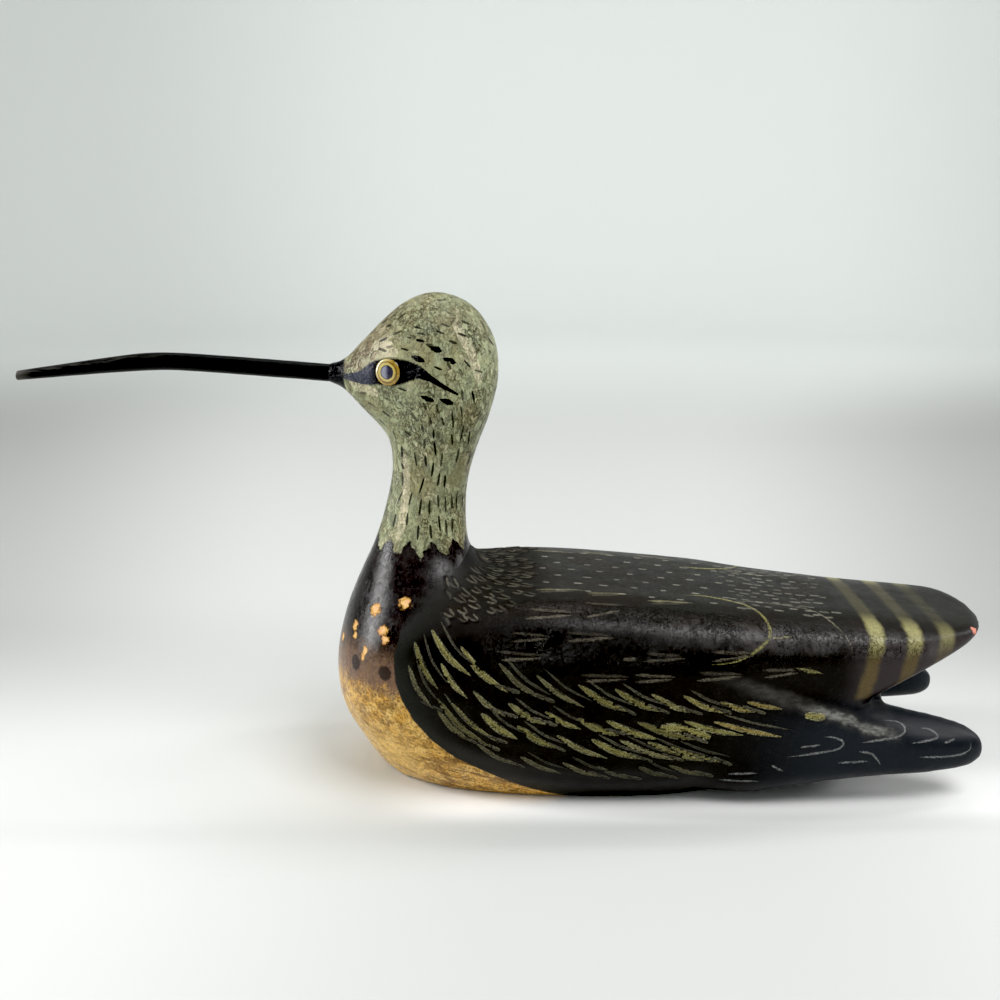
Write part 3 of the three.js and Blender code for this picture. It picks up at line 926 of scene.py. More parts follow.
def paint_distance(piece, name, line):
    """Stores each point's distance in mm from a line on the side, positive in front of it."""
    place = read_points(piece.data)[:, [0, 2]] / MM
    corners = np.array(line, dtype=float)
    best = np.full(len(place), np.inf)
    signed = np.zeros(len(place))
    for start, end in zip(corners, corners[1:]):
        step = end - start
        share = np.clip(((place - start) @ step) / (step @ step), 0, 1)
        gap = place - (start + share[:, None] * step)
        distance = np.linalg.norm(gap, axis=1)
        facing = step[0] * gap[:, 1] - step[1] * gap[:, 0]
        closer = distance < best - 1e-6
        best = np.where(closer, distance, best)
        signed = np.where(closer, np.sign(facing) * distance, signed)
    store(piece, name, signed)


# Bare places where the paint came off, and knots in the wood, as (x, z, radius), on the left side
CHIPS = [
    (-59.5, 94.5, 3.2), (-45, 99.5, 3.0), (-70, 84.5, 2.4), (-70, 80, 1.8), (-77.5, 74, 2.2),
    (-55.5, 87, 2.9), (-54.2, 83.5, 2.1), (-64.5, 76, 2.0), (-65.5, 72.5, 1.4), (229, 82.5, 2.3),
]
KNOTS = [(-69.5, 68.5, 4), (-54.5, 68.5, 3.8)]


def paint_spots(piece, name, spots, coat):
    """Stores each point's distance from the nearest spot, as a share of that spot's radius."""
    points = read_points(piece.data)
    best = np.full(len(points), NOWHERE)
    for x, z, radius in spots:
        [centre] = coat.flank(LEFT, (x, z))
        best = np.minimum(best, np.linalg.norm(points - np.array(centre), axis=1) / (radius * MM))
    store(piece, name, best)


def paint_strokes(piece):
    chance = random.Random(7)
    marks = Coat(piece, "marks")
    paint_head_dashes(marks, chance)
    paint_back_dots(marks, chance)
    paint_nape_marks(marks, chance)
    marks.dry()
    raise_chevrons(piece, marks)
    feathers = Coat(piece, "feathers")
    lines = Coat(piece, "lines")
    for side in SIDES:
        paint_feathers(feathers, side, chance)
        paint_scale_tips(lines, side, chance)
        paint_long_lines(lines, side, chance)
        for arc in TIP_LINES:
            lines.lay(on_side(side, *arc), 0.8, TIP_LINE_TONE, 0.75, LINE_TAPER)
        paint_eye_stripe(lines, side)
        # cream streaks on head and neck: worn places, and painted highlights
        for paler in WORN_AND_HIGHLIGHT_STREAKS:
            feathers.lay(on_side(side, *paler), PALE_STREAK_WIDTH, PALE_STREAK_TONE)
    feathers.dry()
    lines.dry()
    paint_distance(piece, "wing_edge", WING_EDGE)
    paint_distance(piece, "ridge", RIDGE_LINE)
    paint_spots(piece, "chips", CHIPS, lines)
    paint_spots(piece, "knots", KNOTS, lines)


# Materials

def paint(code):
    """Linear colour from a painter's hex code."""
    channels = [int(code[start:start + 2], 16) / 255 for start in (1, 3, 5)]
    linear = [c / 12.92 if c <= 0.04045 else ((c + 0.055) / 1.055) ** 2.4 for c in channels]
    return (*linear, 1.0)


def math_method(operation, swapped=False):
    """A method that adds a math node for this value and another one."""

    def method(self, other):
        pair = (other, self) if swapped else (self, other)
        return self.recipe.math(operation, *pair)

    return method


class Value:
    """A node's output. Sums, products and the methods below add the nodes that work them out."""

    __add__ = __radd__ = math_method("ADD")
    __sub__ = math_method("SUBTRACT")
    __rsub__ = math_method("SUBTRACT", swapped=True)
    __mul__ = __rmul__ = math_method("MULTIPLY")
    __truediv__ = math_method("DIVIDE")
    __pow__ = math_method("POWER")
    at_least = math_method("MAXIMUM")
    at_most = math_method("MINIMUM")
    above = math_method("GREATER_THAN")

    def __init__(self, recipe, socket):
        self.recipe = recipe
        self.socket = socket

    def __abs__(self):
        return self.recipe.math("ABSOLUTE", self)

    def step(self, start, end):
        """0 at start and 1 at end, smooth between; start may be above end."""
        inputs = {"Value": self, "From Min": start, "From Max": end}
        return self.recipe.out("ShaderNodeMapRange", "Result", inputs, interpolation_type="SMOOTHSTEP")

    def mix(self, first, second):
        """The first colour where this value is 0, and the second where it is 1."""
        return self.recipe.out("ShaderNodeMix", 2, {"Factor": self, 6: first, 7: second}, data_type="RGBA")

    def blend(self, first, second):
        """The first number where this value is 0, and the second where it is 1."""
        return self.recipe.out("ShaderNodeMix", 0, {"Factor": self, 2: first, 3: second}, data_type="FLOAT")

    def noise(self, scale, detail=3.0, rough=0.55, distortion=0.0, output="Fac"):
        inputs = {"Vector": self, "Scale": scale, "Detail": detail, "Roughness": rough}
        return self.recipe.out("ShaderNodeTexNoise", output, inputs | {"Distortion": distortion})

    def vector(self, operation, *others):
        inputs = dict(enumerate((self, *others)))
        return self.recipe.out("ShaderNodeVectorMath", 0, inputs, operation=operation)

    def scaled(self, *factors):
        return self.vector("MULTIPLY", factors)

    def moved(self, *steps):
        return self.vector("ADD", steps)

    def split(self):
        """The three parts of a place or a direction."""
        node = self.recipe.node("ShaderNodeSeparateXYZ", {"Vector": self})
        return [Value(self.recipe, socket) for socket in node.outputs]


class Recipe:
    """Adds nodes to a tree in few words. An input may be a number, a colour or a Value."""

    def __init__(self, tree):
        self.tree = tree

    def put(self, value, socket):
        if isinstance(value, Value):
            self.tree.links.new(value.socket, socket)
        else:
            socket.default_value = value

    def node(self, kind, inputs, **settings):
        node = self.tree.nodes.new(kind)
        for name, value in settings.items():
            setattr(node, name, value)
        for name, value in inputs.items():
            self.put(value, node.inputs[name])
        return node

    def out(self, kind, output, inputs, **settings):
        """One output of a new node."""
        return Value(self, self.node(kind, inputs, **settings).outputs[output])

    def math(self, operation, *values, clamp=False):
        return self.out("ShaderNodeMath", 0, dict(enumerate(values)), operation=operation, use_clamp=clamp)

    def stored(self, name):
        """A value that the mesh holds for each point or face."""
        return self.out("ShaderNodeAttribute", "Fac", {}, attribute_name=name)

    def position(self):
        """Object coordinates in millimetres."""
        return self.out("ShaderNodeTexCoord", "Object", {}).scaled(1 / MM, 1 / MM, 1 / MM)

    def upward(self):
        """1 where the surface faces up, and -1 where it faces down."""
        return self.out("ShaderNodeNewGeometry", "Normal", {}).split()[2]

    def group(self, tree, **inputs):
        node = self.node("ShaderNodeGroup", inputs, node_tree=tree)
        return {socket.name: Value(self, socket) for socket in node.outputs}

    def strokes(self, brush, coat, **inputs):
        """The brush marks of a coat, with their tone and strength."""
        place = self.out("ShaderNodeUVMap", "UV", {}, uv_map=coat)
        marks = self.group(brush, Place=place, **inputs)
        return marks, self.stored(coat + "_tone"), self.stored(coat + "_strength")

    def relief(self, height, distance, strength):
        """A surface that stands up by distance in mm where height is 1."""
        inputs = {"Height": height, "Distance": distance * MM, "Strength": strength}
        return self.out("ShaderNodeBump", "Normal", inputs)


def new_group(name, inputs, outputs):
    """An empty node group with its sockets. inputs gives a name and a value, or None for a vector."""
    tree = bpy.data.node_groups.new(name, "ShaderNodeTree")
    for socket, value in inputs.items():
        kind = "NodeSocketVector" if value is None else "NodeSocketFloat"
        item = tree.interface.new_socket(socket, in_out="INPUT", socket_type=kind)
        if value is not None:
            item.default_value = value
    for socket in outputs:
        tree.interface.new_socket(socket, in_out="OUTPUT", socket_type="NodeSocketFloat")
    recipe = Recipe(tree)
    inlet = {socket.name: Value(recipe, socket) for socket in recipe.node("NodeGroupInput", {}).outputs}
    outlet = recipe.node("NodeGroupOutput", {}).inputs
    return tree, recipe, inlet, outlet


def brush_mark_group():
    """A brush mark from its place in the stroke: u from 0 to 1 along it, v from -1 to 1 across."""
    sockets = {"Place": None, "Grain": 0.5, "Specks": 0.5, "Roundness": 0.5, "Ragged": 0.2, "Dryness": 0.3}
    tree, recipe, inlet, outlet = new_group("brush mark", sockets, ["Mask", "Edge", "Solid"])
    along, across, _ = inlet["Place"].split()
    ragged = (inlet["Grain"] - 0.5) * inlet["Ragged"]
    rest = 1.0 - along
    arch = (along * rest * 4.0).at_least(0.0) ** inlet["Roundness"]
    inside = arch - abs(across) + ragged
    mask = inside.step(0.0, 0.2) * (along.above(0.0) * rest.above(0.0))
    recipe.put(mask, outlet["Solid"])
    # a dry brush leaves threads along the stroke, and bare specks where the wood is rough
    threads = inlet["Place"].scaled(2.0, 3.5, 1.0).noise(1.6, 2, 0.7)
    cover = threads * 0.45 + inlet["Specks"] * 0.55
    rim = inside.step(0.7, 0.0) * 0.1
    limit = 0.66 - inlet["Dryness"] * 0.26 - rim
    recipe.put(mask * cover.step(limit, limit - 0.09), outlet["Mask"])
    # thicker paint lies in broken lines along both edges
    broken = (inlet["Specks"] - 0.5) * 1.6
    recipe.put((inside + broken).step(0.62, 0.25), outlet["Edge"])
    return tree


def crackle_group():
    """A net of fine wandering cracks in old paint, broken up and gathered in patches."""
    sockets = {"Position": None, "Scale": 0.3, "Width": 0.05, "Spread": 0.5}
    tree, recipe, inlet, outlet = new_group("crackle", sockets, ["Crack"])
    scaling = {0: inlet["Position"], "Scale": inlet["Scale"]}
    place = recipe.out("ShaderNodeVectorMath", 0, scaling, operation="SCALE")
    swirl = place.noise(1.4, 3.0, 0.65, output="Color").vector("SUBTRACT", (0.5, 0.5, 0.5))
    swirl = swirl.scaled(2.4, 2.4, 2.4)
    cells = {"Vector": place.vector("ADD", swirl), "Scale": 1.0}
    gap = recipe.out("ShaderNodeTexVoronoi", "Distance", cells, feature="DISTANCE_TO_EDGE")
    line = gap.step(inlet["Width"], inlet["Width"] * 0.25)
    gaps = place.noise(2.6, 2, 0.6).step(0.38, 0.46)
    edge = 1.0 - inlet["Spread"]
    patches = inlet["Position"].noise(0.09, 2, 0.6).step(edge, edge + 0.12)
    recipe.put(line * gaps * patches, outlet["Crack"])
    return tree


def rubbed_group():
    """Patches where a finish is rubbed, as clouds with a broken edge."""
    sockets = {"Position": None, "Scale": 0.05, "Amount": 0.5, "Softness": 0.08}
    tree, recipe, inlet, outlet = new_group("rubbed", sockets, ["Mask"])
    cloud = inlet["Position"].noise(inlet["Scale"], 4, 0.62, 0.6)
    edge = 1.0 - inlet["Amount"]
    recipe.put(cloud.step(edge, edge + inlet["Softness"]), outlet["Mask"])
    return tree


def new_material(name):
    material = bpy.data.materials.new(name)
    material.use_nodes = True
    shader = material.node_tree.nodes["Principled BSDF"]
    return material, Recipe(material.node_tree), shader


# Colours of the paper, which carry painted light and shade: in front of the bird, at its foot, behind it, and
# on the wall
PAPER_FRONT = (0.62, 0.63, 0.615, 1)
PAPER_FRONT_SIDES = (0.72, 0.73, 0.715, 1)
PAPER_FOOT_LIGHT = (0.98, 0.98, 0.97, 1)
PAPER_BEHIND = (0.75, 0.76, 0.745, 1)
PAPER_WALL = (0.8, 0.83, 0.81, 1)
PAPER_HIGH_SHADE = (0.3, 0.31, 0.3, 1)
BLACK = (0, 0, 0, 1)


def paper_material():
    """White paper with painted light and shade: brightest at the bird's foot as painted light, and greyed as
    painted shade in front of and left of the bird, towards the far corners and high up.
    """
    material, recipe, shader = new_material("pale paper")
    x, y, z = recipe.position().split()
    # painted shade on the floor in front of the bird, lighter to the sides and behind it
    colour = abs(x - 60.0).step(50, 280).mix(PAPER_FRONT, PAPER_FRONT_SIDES)
    colour = y.step(-90, 60).mix(colour, PAPER_BEHIND)
    # painted light at the bird's foot, which brightens its contact shadow
    foot = y.step(-72, -50) * y.step(10, -30) * (x.step(-70, -10) * x.step(300, 230))
    colour = foot.mix(colour, PAPER_FOOT_LIGHT)
    # painted shadow to the left of the breast
    shade = x.step(-50, -95) * y.step(-50, 0) * y.step(260, 120)
    colour = (shade * 0.04).mix(colour, BLACK)
    wall = y.step(700, 1300)
    colour = wall.mix(colour, PAPER_WALL)
    # the painted shade in the corners widens with distance
    aside = abs(x - wall * 230.0) / (1.0 + y * 0.0011)
    grey = (aside.step(100, 320) * wall.blend(0.32, 0.16) + wall.blend(0.16, 0.0)) * y.step(-60, 200)
    colour = grey.mix(colour, BLACK)
    # painted shade high up on the wall
    colour = z.step(620, 800).mix(colour, PAPER_HIGH_SHADE)
    recipe.put(colour, shader.inputs["Base Color"])
    shader.inputs["Roughness"].default_value = 0.9
    shader.inputs["Specular IOR Level"].default_value = 0.2
    return material


# Colours of the carving
SAGE = paint("#adb18b")
SAGE_GREY = paint("#9ba083")
OLIVE_TAN = paint("#948a64")
CREAM = paint("#ded4b4")
STAIN = paint("#5f5234")
FOREHEAD_TAN = paint("#93846a")
DASH_BLACK = paint("#0c0a05")
CRACK_BROWN = paint("#352a17")
PALE_SAGE = paint("#bcc09d")
STRIPE_BLACK = paint("#0d0b10")
LORE_REFLECTION_GREY = paint("#4a4b57")
BREAST = paint("#1b1617")
BREAST_LIGHT = paint("#2b2626")
BELLY_GOLD = paint("#dba74f")
BELLY_PALE = paint("#f2ca7a")
BELLY_BROWN = paint("#64431a")
BELLY_FADE = paint("#695247")
WING_BLACK = paint("#151110")
BACK_BROWN = paint("#1d1611")
BACK_GREY = paint("#1c1a16")
TIP_BLUE = paint("#222429")
TAIL_TOP = paint("#1d1917")
TAIL_SIDE_SHEEN = paint("#40393a")
SHOULDER_SHEEN_GREY = paint("#54504f")
WING_FRONT_SHEEN = paint("#2c2e2b")
OLIVE = paint("#9a945a")
OLIVE_DARK = paint("#645a38")
OLIVE_PALE = paint("#c3c096")
GREY_OLIVE = paint("#77746a")
OCHRE = paint("#b09a5c")
LINE_GREY = paint("#857d6c")
LINE_PALE = paint("#9b9c9a")
LINE_YELLOW = paint("#a09b62")
DOT_PALE = paint("#9b988a")
CHISEL_GREY = paint("#777265")
GREY_SPECKS_AND_RIDGE_SHEEN = paint("#514f4b")
CREST_HIGHLIGHT_PALE = paint("#a3a29c")
BAR_GREY = paint("#4a4531")
BAR_YELLOW_SHEEN = paint("#a39d6c")
BAR_OCHRE = paint("#635538")
BARE_WOOD = paint("#edc589")
BARE_RIM = paint("#cf9a45")
BARE_PINK = paint("#d9917f")
KNOT_BROWN = paint("#2c201c")

# Height of the foot of the green neck, its ragged tongues, and the top of the belly
NECK_FOOT = 121.5
TONGUES = 12
TONGUE_DEPTH = 3.6
BELLY_TOP = 62
# Tail bars: place along the bird and strength, half width, and how far they lean forward below the shoulder
TAIL_BARS = [(178.5, 0.95), (197.3, 0.9), (214, 0.5)]
BAR_HALF = 3.7
BAR_LEAN = 0.2
SHOULDER_HEIGHT = 85
# The bars also run a little forward towards the right side
BAR_SLANT = 0.055

# Places on the carving, each from where a paint or a shine starts to where it is full
TIP_ALONG = (100, 160)
TIP_UP = (62, 40)
TAIL_ALONG = (160, 178)
TAIL_UP = (48, 58)
# The crazed band along the shoulder, which carries a painted grey sheen: height at X = 0, fall along the
# bird, half width, and where it is
BAND_HEIGHT = 97.6
BAND_FALL = 0.094
BAND_HALF = (7.5, 2)
BAND_OUT = (36, 42)
BAND_ALONG = (35, 150)
# The ridge, lightened with a painted sheen: half width, where it starts and ends, and its pale crest, a
# painted highlight
RIDGE_HALF = (5.2, 0.6)
RIDGE_OUT = (36, 43)
RIDGE_START = (92, 128)
RIDGE_END = (200, 182)
CREST_HALF = (2.8, 0.5)
CREST_START = (138, 156)
CREST_END = (192, 182)
# The brightest place of the belly, and its worn lower part
BRIGHT_UP = (46, 20)
BRIGHT_ALONG = (-28, -46)
WORN_UP = (60, 12)
# Glossy shoulders, and the duller nape
SHOULDER_OUT = (36, 44)
SHOULDER_UP = (70, 80)
SHOULDER_ALONG = (-20, 30)
NAPE_ALONG = (30, 12)
NAPE_UP = (84, 92)
# The black collar where the bill enters the face, the front of the eye stripe, grey as a painted reflection,
# and the tan brow
COLLAR_ALONG = (-73.2, -74.2)
LORE_ALONG = (-57, -62)
BROW_ALONG = (-48, -62)
BROW_UP = (203, 208)


def layered(base, *coats):
    """Paint over paint: each coat is a mask and a colour."""
    for mask, colour in coats:
        base = mask.mix(base, colour)
    return base


class Wood:
    """Places on the carving, and the grains and cracks that its paint follows."""

    def __init__(self, recipe, crackle):
        self.place = recipe.position()
        self.x, self.y, self.z = self.place.split()
        self.out = abs(self.y)
        self.fine = self.place.noise(0.9, 4, 0.65)
        self.medium = self.place.noise(0.16, 4, 0.6)
        self.broad = self.place.noise(0.035, 3)
        self.grit = self.place.noise(1.6, 4, 0.75)
        self.drawn_out = self.place.scaled(1, 1, 0.6)
        self.mottle = self.drawn_out.noise(0.4, 5, 0.72, 0.4)
        net = recipe.group(crackle, Position=self.drawn_out, Scale=0.27, Width=0.07, Spread=0.66)["Crack"]
        hairline = abs(self.mottle - 0.52).step(0.02, 0.006)
        self.crack = net.at_least(hairline * self.broad.step(0.44, 0.52))
        slope = self.z + (self.x * BAND_FALL - BAND_HEIGHT)
        self.band = abs(slope).step(*BAND_HALF) * self.out.step(*BAND_OUT) * self.x.step(*BAND_ALONG)
        self.ridge_gap = abs(recipe.stored("ridge") + (self.medium - 0.5) * 5)
        side = self.x.step(*RIDGE_START) * self.out.step(*RIDGE_OUT)
        self.ridge = self.ridge_gap.step(*RIDGE_HALF) * side * self.x.step(*RIDGE_END)
        self.wing_edge = recipe.stored("wing_edge") + (self.fine - 0.5) * 1.2


def back_paint(recipe, wood):
    """Back, wings and tail. Along the shoulder the varnish is crazed, and a grey sheen is painted over it;
    painted sheen also lightens the tail's sides, the wing's front edge and the ridge before each wing tip.
    """
    up = recipe.upward()
    tail = wood.x.step(*TAIL_ALONG) * wood.z.step(*TAIL_UP)
    drawn_ridge = wood.place.scaled(0.3, 1, 1).noise(0.6, 3, 0.6)
    # painted sheen on the ridge, and a painted highlight along its crest
    ridge_sheen = wood.ridge * drawn_ridge.step(0.3, 0.7).blend(0.35, 0.85)
    crest_highlight = wood.ridge_gap.step(*CREST_HALF) * (wood.x.step(*CREST_START) * wood.x.step(*CREST_END))
    return layered(
        up.step(0.55, 0.9).mix(WING_BLACK, wood.broad.step(0.4, 0.6).mix(BACK_BROWN, BACK_GREY)),
        (wood.x.step(*TIP_ALONG) * wood.z.step(*TIP_UP), TIP_BLUE),
        # the tail's sides are lighter than its top: a painted sheen
        (tail * 0.8, up.step(0.4, 0.8).mix(TAIL_SIDE_SHEEN, TAIL_TOP)),
        # a painted sheen along the wing's front edge
        (wood.wing_edge.step(-13, -2) * 0.45, WING_FRONT_SHEEN),
        # a painted grey sheen over the crazed varnish of the shoulder
        (wood.band * wood.medium.step(0.4, 0.6).blend(0.2, 0.75), SHOULDER_SHEEN_GREY),
        (wood.grit.step(0.52, 0.68) * wood.medium.step(0.42, 0.6) * 0.28, GREY_SPECKS_AND_RIDGE_SHEEN),
        (ridge_sheen * 0.75, GREY_SPECKS_AND_RIDGE_SHEEN),
        (crest_highlight * drawn_ridge.step(0.35, 0.65).blend(0.3, 1.0) * 0.55, CREST_HIGHLIGHT_PALE),
    )


def front_paint(recipe, wood):
    """The dark breast, and below it the golden belly with its brown wear along the grain."""
    breast = wood.medium.step(0.45, 0.65).mix(BREAST, BREAST_LIGHT)
    breast = (wood.grit.step(0.6, 0.67) * 0.4).mix(breast, CHISEL_GREY)
    scuffs = wood.place.noise(0.75, 5, 0.78, 0.5)
    blotches = wood.place.moved(9, 4, 2).noise(0.13, 4, 0.74)
    tilt = {"Vector": wood.place, "Angle": math.radians(-14)}
    slanted = recipe.out("ShaderNodeVectorRotate", 0, tilt, rotation_type="Y_AXIS")
    streaks = slanted.scaled(0.05, 0.25, 0.6).noise(1.0, 4, 0.68, 0.3).step(0.5, 0.6) * wood.z.step(*WORN_UP)
    bright = wood.z.step(*BRIGHT_UP) * wood.x.step(*BRIGHT_ALONG)
    height = wood.z + (scuffs * 24 + wood.medium * 18 - 21)
    belly = layered(
        wood.medium.step(0.35, 0.7).mix(BELLY_GOLD, BELLY_PALE),
        (bright * 0.8, BELLY_PALE),
        (scuffs.step(0.46, 0.6) * bright.blend(0.75, 0.45), BELLY_BROWN),
        (blotches.step(0.47, 0.6) * bright.blend(0.6, 0.3), BELLY_BROWN),
        (scuffs.step(0.4, 0.3) * 0.5, BELLY_PALE),
        (streaks * bright.blend(0.85, 0.4), BELLY_BROWN),
        (height.step(BELLY_TOP - 11, BELLY_TOP + 1) * 0.92, BELLY_FADE),
    )
    return height.step(BELLY_TOP + 22, BELLY_TOP + 4).mix(breast, belly)


def tail_bars(wood):
    """Mask and colour of the bars across the tail: grey on top, yellow towards the sides, lightened there by
    a painted sheen along the shoulders, and ochre lower down.
    """
    leaning = wood.x - (wood.z - SHOULDER_HEIGHT).at_most(0.0) * BAR_LEAN + (wood.y + 40.0) * BAR_SLANT
    wobbling = leaning + (wood.medium * 3.4 + wood.grit * 1.6 - 2.5)
    bars = []
    for centre, strength in TAIL_BARS:
        bars.append(abs(wobbling - centre).step(BAR_HALF + 1.4, BAR_HALF - 1.8) * strength)
    mask = functools.reduce(Value.at_least, bars) * wood.z.step(53, 56)
    mask = mask * wood.fine.step(0.62, 0.42).blend(0.72, 1.0)
    colour = layered(
        # yellow paint towards the sides, lightened as a painted sheen where the bars cross the shoulders
        wood.y.step(-20, -37).mix(BAR_GREY, BAR_YELLOW_SHEEN),
        (wood.y.step(20, 37), BAR_YELLOW_SHEEN),
        (wood.z.step(82, 74), BAR_OCHRE),
    )
    return mask, colour


def head_paint(recipe, wood, rubbed, paler, dashes, stripe):
    """Sage head and neck, mottled and stained in patches and a little darker low on the neck and on the
    crown, with cream where it is worn and as painted highlights down the neck's front and along the back of
    the head.
    """
    busy = wood.drawn_out.noise(0.05, 2).step(0.4, 0.58)
    # a little darker on the lower neck behind its front, and on top of the crown
    neck_and_crown_darkening = wood.z.step(178, 152) * wood.x.step(-54, -44) + wood.z.step(220, 240)
    weathered = wood.z.step(146, 122).at_least(wood.z.step(196, 222) * wood.x.step(-14, -30))
    tan_cloud = wood.drawn_out.moved(7, 3, 1).noise(0.06, 4, 0.65) + weathered * 0.08
    shifted = wood.drawn_out.moved(40, 10, 0)
    pale = recipe.group(rubbed, Position=shifted, Scale=0.3, Amount=0.43, Softness=0.05)["Mask"]
    streak_edge = wood.mottle + (wood.grit - 0.5) * 0.5
    brow = wood.x.step(*BROW_ALONG) * wood.z.step(*BROW_UP)
    collar = (wood.x + (wood.fine - 0.5) * 1.6).step(*COLLAR_ALONG)
    stripe = stripe.at_least(collar)
    # the front of the stripe is grey: a painted reflection
    stripe_colour = wood.x.step(*LORE_ALONG).mix(STRIPE_BLACK, LORE_REFLECTION_GREY)
    colour = layered(
        wood.medium.step(0.38, 0.66).mix(SAGE, SAGE_GREY),
        (neck_and_crown_darkening * 0.16, STAIN),
        (tan_cloud.step(0.47, 0.64) * 0.6, OLIVE_TAN),
        (wood.mottle.step(0.47, 0.6) * busy.blend(0.06, 0.38), STAIN),
        (wood.mottle.step(0.46, 0.32) * busy.blend(0.22, 0.5), PALE_SAGE),
        (pale * wood.fine.step(0.44, 0.56) * 0.6, CREAM),
        # cream where worn, and painted highlights down the neck's front and along the back of the head
        (paler * streak_edge.step(0.38, 0.5) * 0.85, CREAM),
        (brow * wood.mottle.step(0.4, 0.6).blend(0.35, 1.0), FOREHEAD_TAN),
        (wood.grit.step(0.54, 0.64) * busy.blend(0.06, 0.24), STAIN),
        (wood.crack * busy.blend(0.3, 0.9), CRACK_BROWN),
        (dashes, DASH_BLACK),
        (stripe, collar.mix(stripe_colour, STRIPE_BLACK)),
    )
    return colour, stripe


def neck_foot(recipe, wood):
    """1 on head and neck, with ragged tongues of paint where the neck ends."""
    turn = recipe.math("ARCTAN2", wood.y, wood.x + 38.0)
    tongue = recipe.math("PINGPONG", turn * (TONGUES / (2 * math.pi)), 0.5)
    tongue = (tongue - 0.25) * (4 * TONGUE_DEPTH) + (wood.place.noise(0.3, 3) - 0.5) * 9
    return (wood.z - NECK_FOOT - tongue).step(-0.5, 0.5)


def carving_material(brush, crackle, rubbed):
    """Old oil paint on carved wood: sage head, aubergine breast, golden belly and dark feathered back."""
    material, recipe, shader = new_material("painted carving")
    wood = Wood(recipe, crackle)
    grain = {"Grain": wood.fine, "Specks": wood.grit}
    soft = wood.z.step(86, 102).blend(0.4, 8.0)
    is_front = wood.wing_edge.step(soft * -1.0, soft)
    is_head = neck_foot(recipe, wood)

    # feather strokes, lines, and marks, which are dashes, dots and chevrons
    look = {"Roundness": 0.16, "Ragged": 0.45, "Dryness": 0.3}
    feather, feather_tone, strength = recipe.strokes(brush, "feathers", **grain, **look)
    is_pale_streak = feather_tone.step(1.2, 1.3)
    feather_mask = feather["Mask"] * strength * (1.0 - is_pale_streak)
    feather_colour = layered(
        feather_tone.step(0.0, 0.35).mix(GREY_OLIVE, OLIVE),
        (feather_tone.step(0.55, 0.85), OCHRE),
        (wood.fine.step(0.44, 0.62) * 0.6, OLIVE_DARK),
        (feather["Edge"] * 0.62, OLIVE_PALE),
    )
    is_stripe = recipe.stored("lines_tone").step(0.25, 0.2)
    look = {"Roundness": 0.12, "Ragged": is_stripe.blend(1.2, 0.16), "Dryness": 0.42}
    line, line_tone, strength = recipe.strokes(brush, "lines", **grain, **look)
    line_mask = line["Mask"] * strength * (1.0 - is_stripe)
    line_colour = line_tone.step(0.5, 0.9).mix(LINE_GREY, LINE_YELLOW)
    line_colour = line_tone.step(0.4, 0.35).mix(line_colour, LINE_PALE)
    look = {"Roundness": 0.35, "Ragged": 0.8, "Dryness": 0.2}
    mark, mark_tone, strength = recipe.strokes(brush, "marks", **grain, **look)
    mark_mask = mark["Mask"] * strength * mark_tone.step(0.2, 0.3)
    dashes = mark["Solid"] * strength * mark_tone.step(0.3, 0.2)

    body = layered(
        is_front.mix(back_paint(recipe, wood), front_paint(recipe, wood)),
        (feather_mask, feather_colour),
        (line_mask, line_colour),
        (mark_mask, mark_tone.step(0.7, 0.8).mix(DOT_PALE, CHISEL_GREY)),
        tail_bars(wood),
        (wood.crack * wood.band * 0.7, WING_BLACK),
    )
    paler = feather["Solid"] * is_pale_streak
    head, stripe = head_paint(recipe, wood, rubbed, paler, dashes, line["Solid"] * is_stripe)

    # chips to the wood, dark knots, and a painted contact shadow along the foot
    ragged = (wood.place.noise(0.45, 5, 0.85) - 0.5) * 3.3
    chip_gap = recipe.stored("chips") + ragged
    chip = chip_gap.step(1.0, 0.9)
    bare = layered(
        chip_gap.step(0.35, 0.9).mix(BARE_WOOD, BARE_RIM),
        (wood.medium.step(0.45, 0.6) * 0.3, BARE_PINK),
        (wood.x.step(200, 210), BARE_PINK),
        (wood.grit.step(0.55, 0.66) * 0.4, BELLY_BROWN),
    )
    knot = (recipe.stored("knots") + ragged * 0.25).step(1.1, 0.8)
    colour = layered(
        is_head.mix(body, head),
        (chip, bare),
        (knot * 0.95, KNOT_BROWN),
        # painted shade along the foot
        (wood.z.step(2.2, 0.4) * wood.medium.step(0.4, 0.6) * 0.5, STAIN),
    )
    recipe.put(colour, shader.inputs["Base Color"])

    # varnish: glossy breast and shoulders, half dull back, and a broken shine on the head
    shoulder = wood.out.step(*SHOULDER_OUT) * (wood.z.step(*SHOULDER_UP) * wood.x.step(*SHOULDER_ALONG))
    glossy = shoulder.at_least(wood.ridge)
    nape = wood.x.step(*NAPE_ALONG) * wood.z.step(*NAPE_UP)
    back_gloss = glossy.blend(nape.blend(0.4, 0.62), 0.24)
    gloss = is_front.blend(back_gloss, wood.mottle.step(0.48, 0.6).blend(0.08, 0.36))
    gloss = chip.blend(stripe.blend(is_head.blend(gloss, 0.33), 0.24), 0.8)
    gloss = gloss + (wood.medium - 0.5) * 0.24 + (wood.grit - 0.5) * 0.2
    gloss = recipe.math("ADD", gloss, feather_mask * 0.18, clamp=True)
    recipe.put(gloss, shader.inputs["Roughness"])

    # relief: brushed paint, cracks across the shoulders, and cut or chipped places
    on_body = 1.0 - is_head
    strokes = feather["Solid"] * (0.5 + feather["Edge"] * 0.4)
    strokes = strokes.at_least(line["Solid"] * 0.4)
    relief = (wood.fine + wood.medium * 1.5 + wood.grit) * 0.22
    relief = relief + wood.mottle * (glossy * 0.38) * on_body + wood.mottle * is_head * 0.9
    relief = relief + strokes * on_body - wood.crack * is_head.blend(shoulder, 0.8) - chip
    recipe.put(recipe.relief(relief, 0.35, 1.0), shader.inputs["Normal"])
    shader.inputs["Specular IOR Level"].default_value = 0.3
    return material


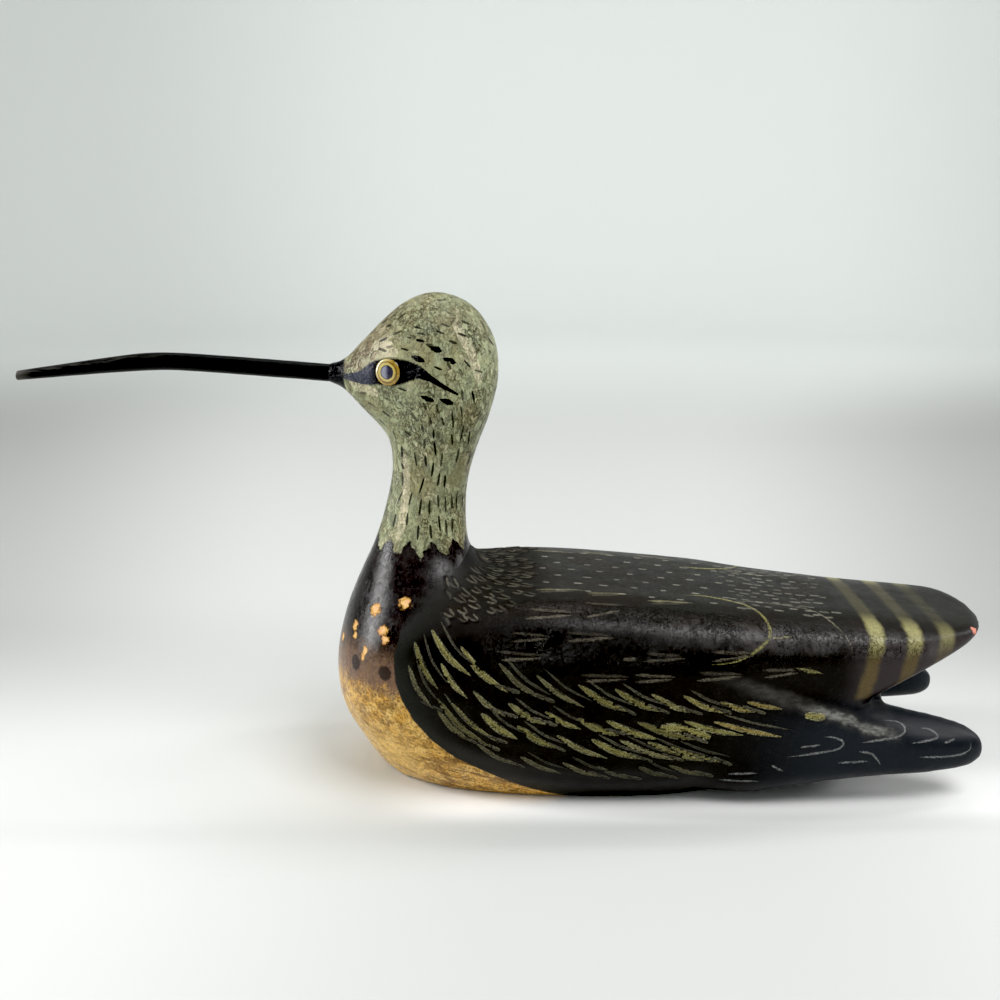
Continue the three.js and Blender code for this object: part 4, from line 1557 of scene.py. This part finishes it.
def bill_material(rubbed):
    """Black paint with a half gloss, rubbed grey along the top and bare at the tip."""
    material, recipe, shader = new_material("painted bill")
    place = recipe.position()
    x = place.split()[0]
    streaks = place.scaled(0.12, 1.2, 1.2).noise(1.0, 4, 0.65)
    rub = streaks.step(0.42, 0.66) * recipe.upward().step(0.1, 0.85) * x.step(-140, -200)
    colour = (rub * 0.6).mix(paint("#070707"), paint("#4a4844"))
    patches = recipe.group(rubbed, Position=place, Scale=0.25, Amount=0.42, Softness=0.1)["Mask"]
    tip = x.step(-222, -230) * patches.blend(0.35, 0.9)
    colour = tip.mix(colour, paint("#75716a"))
    recipe.put(colour, shader.inputs["Base Color"])
    recipe.put(rub.blend(streaks.blend(0.28, 0.5), 0.6), shader.inputs["Roughness"])
    shader.inputs["Specular IOR Level"].default_value = 0.22
    relief = streaks + place.noise(0.7, 3) * 0.5
    recipe.put(recipe.relief(relief, 0.25, 0.6), shader.inputs["Normal"])
    return material


def eye_material():
    """Painted ring and pupil below clear glass, with a painted grey reflection over the front of the pupil.
    """
    material, recipe, shader = new_material("glass eye")
    place = recipe.position()
    reach = recipe.stored("reach") + (place.noise(0.6, 3) - 0.5) * 0.1
    fibres = place.noise(1.4, 4, 0.7)
    tailward = recipe.stored("tailward") + fibres * 0.3
    # the pupil: a painted grey reflection over its front half, dark indigo behind
    colour = tailward.step(-0.02, 0.3).mix(paint("#8e8f9f"), paint("#1c1732"))
    colour = (reach.step(0.38, 0.5) * 0.7).mix(colour, paint("#1e1a1f"))
    ring = fibres.step(0.4, 0.6).mix(paint("#b48f2a"), paint("#85691a"))
    # the ring is paler towards its upper front
    paler = recipe.stored("rise") * 0.7 - recipe.stored("tailward")
    ring = (paler + fibres).step(0.6, 1.5).mix(ring, paint("#d9c98e"))
    ring = (abs(reach - 0.76).step(0.06, 0.02) * 0.8).mix(ring, paint("#4c3a10"))
    colour = reach.step(0.5, 0.54).mix(colour, paint("#c4b166"))
    colour = reach.step(0.62, 0.68).mix(colour, ring)
    colour = reach.step(0.95, 0.985).mix(colour, paint("#2a1d12"))
    recipe.put(colour, shader.inputs["Base Color"])
    recipe.put(fibres.blend(0.04, 0.12), shader.inputs["Roughness"])
    shader.inputs["Coat Weight"].default_value = 1.0
    shader.inputs["Coat Roughness"].default_value = 0.04
    return material


def dress(piece, material, node):
    piece.data.materials.clear()
    piece.data.materials.append(material)
    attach(piece, "root")
    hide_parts(node)


add_camera()
add_lights()
add_floor()
brush, crackle, rubbed = brush_mark_group(), crackle_group(), rubbed_group()
carving = make_carving()
paint_strokes(carving)
dress(carving, carving_material(brush, crackle, rubbed), "carving")
bill = make_bill()
dress(bill, bill_material(rubbed), "bill")
glass = eye_material()
for name, node in (("left_eye_glass", "eye_left"), ("right_eye_glass", "eye_right")):
    dress(make_eye(name, node), glass, node)
